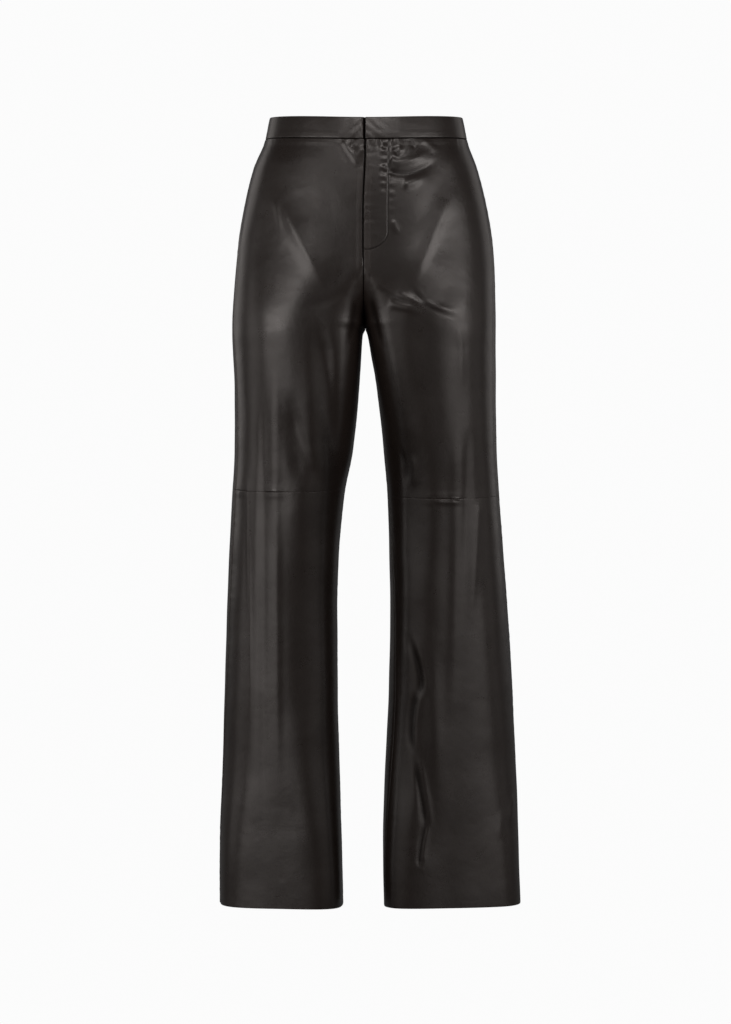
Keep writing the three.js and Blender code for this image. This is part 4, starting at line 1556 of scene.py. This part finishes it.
@dataclass(frozen=True)
class Cloud:
    """A noise texture's settings: its scale per metre, and how fine, rough and distorted it is."""

    scale: float
    detail: float
    rough: float
    distortion: float = 0.0


def set_values(node: bpy.types.Node, **values: object) -> None:
    """Set input sockets' own values, each under its name with _ for a space."""
    for name, value in values.items():
        node.inputs[name.replace("_", " ")].default_value = value


class NodeKit:
    """A short way to add and join nodes in one tree."""

    def __init__(self, tree: bpy.types.NodeTree) -> None:
        """Keep the tree."""
        self.tree = tree

    def add(self, kind: str, **settings: object) -> bpy.types.Node:
        """Add a node and set its own settings."""
        node = self.tree.nodes.new(kind)
        for key, value in settings.items():
            setattr(node, key, value)
        return node

    def join(self, source: bpy.types.NodeSocket, target: bpy.types.NodeSocket) -> None:
        """Join an output to an input."""
        self.tree.links.new(source, target)

    def math(self, operation: str, a: object, b: object) -> bpy.types.NodeSocket:
        """A Math node whose two inputs are sockets or numbers, and its output."""
        node = self.add("ShaderNodeMath", operation=operation)
        for place, value in enumerate((a, b)):
            if isinstance(value, bpy.types.NodeSocket):
                self.join(value, node.inputs[place])
            else:
                node.inputs[place].default_value = value
        return node.outputs[0]

    def times(self, a: object, b: object) -> bpy.types.NodeSocket:
        """The product of two sockets or numbers."""
        return self.math("MULTIPLY", a, b)

    def plus(self, a: object, b: object) -> bpy.types.NodeSocket:
        """The sum of two sockets or numbers."""
        return self.math("ADD", a, b)

    def minus(self, a: object, b: object) -> bpy.types.NodeSocket:
        """The first less the second."""
        return self.math("SUBTRACT", a, b)

    def noise(self, vector: bpy.types.NodeSocket, cloud: Cloud) -> bpy.types.NodeSocket:
        """A Noise Texture and its value."""
        node = self.add("ShaderNodeTexNoise")
        self.join(vector, node.inputs["Vector"])
        set_values(node, Scale=cloud.scale, Detail=cloud.detail)
        set_values(node, Roughness=cloud.rough, Distortion=cloud.distortion)
        return node.outputs["Fac"]

    def ramp(self, value: bpy.types.NodeSocket, low: float, high: float) -> bpy.types.NodeSocket:
        """A smooth rise from 0 at low to 1 at high."""
        node = self.add("ShaderNodeMapRange", interpolation_type="SMOOTHSTEP")
        self.join(value, node.inputs["Value"])
        set_values(node, From_Min=low, From_Max=high)
        return node.outputs["Result"]

    def mixed(self, factor: bpy.types.NodeSocket, a: tuple, b: tuple) -> bpy.types.NodeSocket:
        """A colour between two, by a factor."""
        node = self.add("ShaderNodeMix", data_type="RGBA")
        self.join(factor, node.inputs["Factor"])
        set_values(node, A=(*a, 1.0), B=(*b, 1.0))
        return node.outputs["Result"]

    def bump(self, height: bpy.types.NodeSocket, strength: float, depth: float) -> bpy.types.NodeSocket:
        """A Bump node and its normal. The depth, in millimetres, is that of a height of 1."""
        node = self.add("ShaderNodeBump")
        set_values(node, Strength=strength, Distance=depth * MM)
        self.join(height, node.inputs["Height"])
        return node.outputs["Normal"]


@dataclass(frozen=True)
class Grain:
    """The leather's grain: pores, fine wrinkles, soft dents and a broad unevenness, in millimetres."""

    name: str = "leather_grain"
    pore_scale: float = 700.0
    pore_softness: float = 0.6
    pore_height: float = 0.015
    wrinkle_scale: float = 430.0
    wrinkle_edge: float = 0.12
    wrinkle_height: float = -0.018
    dents: Cloud = Cloud(46.0, 3.0, 0.55, 0.3)
    dent_height: float = 0.5
    broad: Cloud = Cloud(17.0, 2.0, 0.5, 0.2)
    broad_height: float = 1.4

    def group(self) -> bpy.types.NodeTree:
        """Make the grain's node group.

        Its inputs are a position and how strong the wrinkles are. Its outputs are a height and a mask of the
        wrinkles' valleys.

        Returns:
            The node group.
        """
        tree = bpy.data.node_groups.new(self.name, "ShaderNodeTree")
        tree.interface.new_socket("Position", in_out="INPUT", socket_type="NodeSocketVector")
        tree.interface.new_socket("Wrinkles", in_out="INPUT", socket_type="NodeSocketFloat")
        tree.interface.new_socket("Height", in_out="OUTPUT", socket_type="NodeSocketFloat")
        tree.interface.new_socket("Valleys", in_out="OUTPUT", socket_type="NodeSocketFloat")
        kit = NodeKit(tree)
        given = kit.add("NodeGroupInput")
        result = kit.add("NodeGroupOutput")
        position = given.outputs["Position"]
        cells = kit.add("ShaderNodeTexVoronoi", feature="SMOOTH_F1")
        kit.join(position, cells.inputs["Vector"])
        set_values(cells, Scale=self.pore_scale, Smoothness=self.pore_softness)
        pores = kit.times(cells.outputs["Distance"], self.pore_height)
        creases = kit.add("ShaderNodeTexVoronoi", feature="DISTANCE_TO_EDGE")
        kit.join(position, creases.inputs["Vector"])
        set_values(creases, Scale=self.wrinkle_scale)
        valleys = kit.ramp(creases.outputs["Distance"], self.wrinkle_edge, 0.0)
        wrinkles = kit.times(kit.times(valleys, given.outputs["Wrinkles"]), self.wrinkle_height)
        dents = kit.times(kit.noise(position, self.dents), self.dent_height)
        broad = kit.times(kit.noise(position, self.broad), self.broad_height)
        kit.join(kit.plus(kit.plus(pores, wrinkles), kit.plus(dents, broad)), result.inputs["Height"])
        kit.join(valleys, result.inputs["Valleys"])
        return tree


@dataclass(frozen=True)
class LeatherFinish:
    """Smooth, softly shining leather, a very dark warm brown.

    It is paler where it is worn, in clouds and along its edges; painted shade darkens and dulls it in its
    creases.
    """

    name: str
    deep: tuple[float, float, float]
    worn: tuple[float, float, float]
    roughness: float
    coat: float
    grain: Grain = Grain()
    wrinkles: float = 1.0
    clouds: Cloud = Cloud(21.0, 4.0, 0.6)
    cloud_range: tuple[float, float] = (0.4, 0.72)
    cloud_wear: float = 0.55
    edge_range: tuple[float, float] = (2.6, 0.4)
    edge_wear: float = 0.3
    painted_shade_darkening: float = 0.75
    specular: float = 0.5
    painted_shade_specular: float = 0.45
    gloss: Cloud = Cloud(34.0, 4.0, 0.6)
    gloss_spread: float = 0.12
    valley_roughness: float = 0.05
    coat_roughness: float = 0.32
    bump: float = 0.55

    def material(self) -> bpy.types.Material:
        """Make the material.

        Returns:
            The material, which reads the seam and painted shade numbers that the leather's meshes carry.
        """
        material = bpy.data.materials.new(self.name)
        material.use_nodes = True
        tree = material.node_tree
        kit = NodeKit(tree)
        shader = tree.nodes["Principled BSDF"]
        place = kit.add("ShaderNodeTexCoord").outputs["Object"]
        grain = kit.add("ShaderNodeGroup", node_tree=self.grain.group())
        kit.join(place, grain.inputs["Position"])
        set_values(grain, Wrinkles=self.wrinkles)
        seam = kit.add("ShaderNodeAttribute", attribute_name="seam").outputs["Fac"]
        painted_shade = kit.add("ShaderNodeAttribute", attribute_name="painted_shade").outputs["Fac"]

        clouds = kit.times(kit.ramp(kit.noise(place, self.clouds), *self.cloud_range), self.cloud_wear)
        worn = kit.plus(clouds, kit.times(kit.ramp(seam, *self.edge_range), self.edge_wear))
        # The painted shade darkens the base colour
        shade = kit.add("ShaderNodeVectorMath", operation="SCALE")
        kit.join(kit.mixed(worn, self.deep, self.worn), shade.inputs[0])
        kit.join(kit.minus(1.0, kit.times(painted_shade, self.painted_shade_darkening)), shade.inputs["Scale"])
        kit.join(shade.outputs[0], shader.inputs["Base Color"])

        # In the painted shade the specular and the coat are lowered too
        specular = kit.minus(self.specular, kit.times(painted_shade, self.painted_shade_specular))
        kit.join(specular, shader.inputs["Specular IOR Level"])
        kit.join(kit.times(kit.minus(1.0, painted_shade), self.coat), shader.inputs["Coat Weight"])
        gloss = kit.times(kit.noise(place, self.gloss), self.gloss_spread)
        rough = kit.plus(gloss, self.roughness - self.gloss_spread / 2)
        rough = kit.plus(rough, kit.times(grain.outputs["Valleys"], self.valley_roughness))
        kit.join(rough, shader.inputs["Roughness"])
        kit.join(kit.bump(grain.outputs["Height"], self.bump, 1.0), shader.inputs["Normal"])
        set_values(shader, Coat_Roughness=self.coat_roughness)
        return material


@dataclass(frozen=True)
class PlainFinish:
    """Thread, tape or metal: a colour with a fine unevenness of colour, gloss and surface."""

    name: str
    dark: tuple[float, float, float]
    light: tuple[float, float, float]
    roughness: float
    metallic: float
    speckles: Cloud
    gloss_spread: float = 0.16
    bump: float = 0.3
    bump_depth: float = 0.2

    def material(self) -> bpy.types.Material:
        """Make the material."""
        material = bpy.data.materials.new(self.name)
        material.use_nodes = True
        tree = material.node_tree
        kit = NodeKit(tree)
        shader = tree.nodes["Principled BSDF"]
        place = kit.add("ShaderNodeTexCoord").outputs["Object"]
        speckle = kit.noise(place, self.speckles)
        kit.join(kit.mixed(speckle, self.dark, self.light), shader.inputs["Base Color"])
        rough = kit.plus(kit.times(speckle, self.gloss_spread), self.roughness - self.gloss_spread / 2)
        kit.join(rough, shader.inputs["Roughness"])
        kit.join(kit.bump(speckle, self.bump, self.bump_depth), shader.inputs["Normal"])
        set_values(shader, Metallic=self.metallic)
        return material


LEATHER = LeatherFinish(
    "brown_black_leather", (0.0172, 0.0127, 0.0109), (0.0232, 0.0178, 0.0155), roughness=0.29, coat=0.08
)
THREAD = PlainFinish(
    "black_thread", (0.006, 0.0055, 0.0055), (0.016, 0.015, 0.014), 0.62, 0.0, Cloud(5200.0, 3.0, 0.6)
)
TAPE = PlainFinish(
    "black_zip_tape", (0.006, 0.006, 0.006), (0.014, 0.014, 0.014), 0.8, 0.0, Cloud(2600.0, 3.0, 0.6)
)
METAL = PlainFinish("dull_nickel", (0.42, 0.41, 0.39), (0.56, 0.55, 0.53), 0.34, 1.0, Cloud(900.0, 3.0, 0.6))


METAL_NODES = ("zip_slider", "waist_hook", "waist_bar")


def dress(obj: bpy.types.Object, material: bpy.types.Material) -> None:
    """Give a piece its one material."""
    obj.data.materials.clear()
    obj.data.materials.append(material)


def own(obj: bpy.types.Object, slot: str, *nodes: str) -> None:
    """Let a piece ride on the body and stand for its solids, which are hidden.

    Args:
        obj: the piece.
        slot: not used.
        nodes: the solids that it replaces.
    """
    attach(obj, BODY)
    if nodes:
        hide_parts(*nodes)
    log.info("%s: %d faces", obj.name, len(obj.data.polygons))


@dataclass
class Trousers:
    """The leather panels and the waistband of the whole garment."""

    leather: bpy.types.Material
    thread: bpy.types.Material
    tape: bpy.types.Material

    def build_legs(self) -> None:
        """Build the eight leather panels of the two legs."""
        for leg in (RIGHT, LEFT):
            for face in Face:
                for part in Part:
                    panel = LeatherPanel(leg, face, part)
                    piece = panel.build()
                    dress(piece, self.leather)
                    own(piece, "leather", panel.node)

    def build_band(self) -> None:
        """Build the waistband's three stretches."""
        stretches = (
            BandStretch("waistband_front_right", -0.25, front_turns(UNDERLAP), 96),
            BandStretch("waistband_front_left", 0.0, 0.25, 64),
            BandStretch("waistband_back", 0.25, 0.75, 128),
        )
        for stretch in stretches:
            piece = stretch.build()
            dress(piece, self.leather)
            own(piece, "leather", stretch.node)

    def build_zip(self) -> None:
        """Build the zip's tape with its teeth, which stands for the plain zip."""
        piece = ZipTape().build()
        dress(piece, self.tape)
        own(piece, "thread_and_tape", "fly_zip")

    def build_fly_stitching(self) -> None:
        """Sew the fly: down beside the lap, then round to the closing line in a quarter of an ellipse."""
        straight = np.linspace(FLY_LINE_TOP_Z, FLY_BEND_Z, 60)
        turn = np.linspace(0.0, math.pi / 2, 40)[1:]
        reach = FLY_LINE_X - FLY_LINE_ENDS_X
        x = np.concatenate([np.full(len(straight), FLY_LINE_X), FLY_LINE_ENDS_X + reach * np.cos(turn)])
        z = np.concatenate([straight, FLY_BEND_Z + (FLY_FOOT_Z - FLY_BEND_Z) * np.sin(turn)])
        piece = Stitching("fly_stitching").build(x, z)
        dress(piece, self.thread)
        own(piece, "thread_and_tape")


@dataclass(frozen=True)
class Softbox:
    """A soft lamp that faces the trousers' axis.

    Its turn is in degrees round from the camera, to the viewer's right. Its height and distance are its
    middle's, and its size is width and height, all in metres. Its power is in watts.
    """

    name: str
    turn: float
    height: float
    distance: float
    size: tuple[float, float]
    power: float
    aim: float = -0.35
    colour: tuple[float, float, float] = (1.0, 0.935, 0.9)

    def hang(self) -> None:
        """Make the lamp, unseen by the camera."""
        data = bpy.data.lights.new(self.name, "AREA")
        data.shape = "RECTANGLE"
        data.size, data.size_y = self.size
        data.energy = self.power
        data.color = self.colour
        light = bpy.data.objects.new(self.name, data)
        light.visible_camera = False
        angle = math.radians(self.turn)
        light.location = (self.distance * math.sin(angle), -self.distance * math.cos(angle), self.height)
        tilt = math.atan2(self.height - self.aim, self.distance)
        light.rotation_euler = (math.pi / 2 - tilt, 0.0, angle)
        bpy.context.scene.collection.objects.link(light)


# Wide softboxes to both sides of the camera leave it in a dark gap, and weak ones stand behind
SOFTBOXES = (
    Softbox("softbox_left_low", -35.0, -0.45, 5.0, (4.9, 1.8), 40.0),
    Softbox("softbox_left_high", -37.0, 0.75, 5.0, (3.8, 0.95), 50.0),
    Softbox("softbox_left_side", -84.0, 0.1, 5.0, (2.6, 2.3), 17.0),
    Softbox("softbox_right_low", 40.0, -0.58, 5.0, (5.2, 1.55), 22.0),
    Softbox("softbox_right_high", 47.0, 0.9, 5.0, (4.2, 1.0), 66.0),
    Softbox("softbox_right_side", 88.0, 0.1, 5.0, (2.0, 2.3), 4.0),
    Softbox("softbox_top", 4.0, 2.1, 3.6, (2.0, 0.8), 32.0),
    Softbox("softbox_back_left", -130.0, 0.9, 5.0, (2.6, 3.0), 16.0),
    Softbox("softbox_back_right", 130.0, 0.9, 5.0, (2.6, 3.0), 11.0),
)

FLOOR_Z_M = -1.5

# The near edge of the gauze board in metres: heights from the top down, and how far in front they lie
GAUZE_EDGE = (
    (0.02, -0.118), (-0.19, -0.118), (-0.22, -0.15), (-0.36, -0.14), (-0.45, -0.1), (FLOOR_Z_M, -0.09),
)


@dataclass(frozen=True)
class Studio:
    """A pale floor that curves up behind, soft lights, and the camera. Lengths are in metres."""

    camera_distance: float = 4.2
    camera_height: float = -0.5186
    metres_per_pixel: float = 0.00138
    long_side_pixels: int = 1024
    sensor: float = 36.0
    gauze_grey: float = 0.36
    gauze_front: float = -1.3
    wall_radius: float = 6.0
    wall_height: float = 5.0
    bend: float = 1.5
    paper_seen: float = 0.97
    paper_glow: float = 0.09
    world_glow: float = 0.05

    def camera(self) -> None:
        """Place the camera level with the middle of the legs, straight in front."""
        data = bpy.data.cameras.new("camera")
        data.sensor_width = self.sensor
        view = self.long_side_pixels * self.metres_per_pixel
        data.lens = self.sensor * self.camera_distance / view
        camera = bpy.data.objects.new("camera", data)
        camera.location = (0.0, -self.camera_distance, self.camera_height)
        camera.rotation_euler = (math.pi / 2, 0.0, 0.0)
        bpy.context.scene.collection.objects.link(camera)
        bpy.context.scene.camera = camera

    def flag(self) -> None:
        """A dark gauze, edge on to the camera, which holds back each side's light from the other leg."""
        points = np.array([[(0.0, y, z), (0.0, self.gauze_front, z)] for z, y in GAUZE_EDGE])
        board = grid_mesh("dark_flag", points / MM)
        material = bpy.data.materials.new("dark_gauze")
        material.use_nodes = True
        kit = NodeKit(material.node_tree)
        gauze = kit.add("ShaderNodeBsdfTransparent")
        set_values(gauze, Color=(*[self.gauze_grey] * 3, 1.0))
        kit.join(gauze.outputs[0], material.node_tree.nodes["Material Output"].inputs["Surface"])
        dress(board, material)
        board.visible_camera = False

    def backdrop(self) -> None:
        """A pale sheet: flat floor, then a quarter circle, then a wall, all round at a distance."""
        flat = self.wall_radius - self.bend
        turn = np.linspace(0.0, 2 * math.pi, 96, endpoint=False)
        arc = np.linspace(0.0, math.pi / 2, 10)
        across = np.concatenate([[0.0, flat], flat + self.bend * np.sin(arc[1:]), [self.wall_radius]])
        up = np.concatenate([[0.0, 0.0], self.bend - self.bend * np.cos(arc[1:]), [self.wall_height]])
        points = np.stack([
            across[:, None] * np.cos(turn), across[:, None] * np.sin(turn),
            np.broadcast_to(FLOOR_Z_M + up[:, None], (len(up), len(turn))),
        ], axis=-1)
        sheet = grid_mesh("backdrop", points / MM, closed=True)
        dress(sheet, self.paper())

    def paper(self) -> bpy.types.Material:
        """A plain pale paper that the camera sees as white and that lights the garment only a little."""
        material = bpy.data.materials.new("pale_paper")
        material.use_nodes = True
        tree = material.node_tree
        kit = NodeKit(tree)
        dim = kit.add("ShaderNodeEmission")
        set_values(dim, Color=(1.0, 1.0, 1.0, 1.0), Strength=self.paper_glow)
        seen = kit.add("ShaderNodeEmission")
        set_values(seen, Strength=self.paper_seen)
        path = kit.add("ShaderNodeLightPath")
        blend = kit.add("ShaderNodeMixShader")
        kit.join(path.outputs["Is Camera Ray"], blend.inputs[0])
        kit.join(dim.outputs[0], blend.inputs[1])
        kit.join(seen.outputs[0], blend.inputs[2])
        kit.join(blend.outputs[0], tree.nodes["Material Output"].inputs["Surface"])
        return material

    def world(self) -> None:
        """A dim even world."""
        world = bpy.data.worlds.new("studio")
        world.use_nodes = True
        background = world.node_tree.nodes["Background"]
        set_values(background, Color=(1.0, 1.0, 1.0, 1.0), Strength=self.world_glow)
        bpy.context.scene.world = world

    def build(self) -> None:
        """Set up everything that isn't part of the garment."""
        self.camera()
        for softbox in SOFTBOXES:
            softbox.hang()
        self.flag()
        self.backdrop()
        self.world()
        bpy.context.scene.view_settings.view_transform = "Standard"


def main() -> None:
    """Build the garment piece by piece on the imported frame, then the studio."""
    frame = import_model()
    nodes = frame["nodes"]
    leather, thread, tape, metal = (finish.material() for finish in (LEATHER, THREAD, TAPE, METAL))
    trousers = Trousers(leather, thread, tape)
    trousers.build_legs()
    trousers.build_band()
    trousers.build_zip()
    trousers.build_fly_stitching()
    for node in METAL_NODES:
        dress(nodes[node], metal)
    Studio().build()


if __name__ == "__main__":
    main()
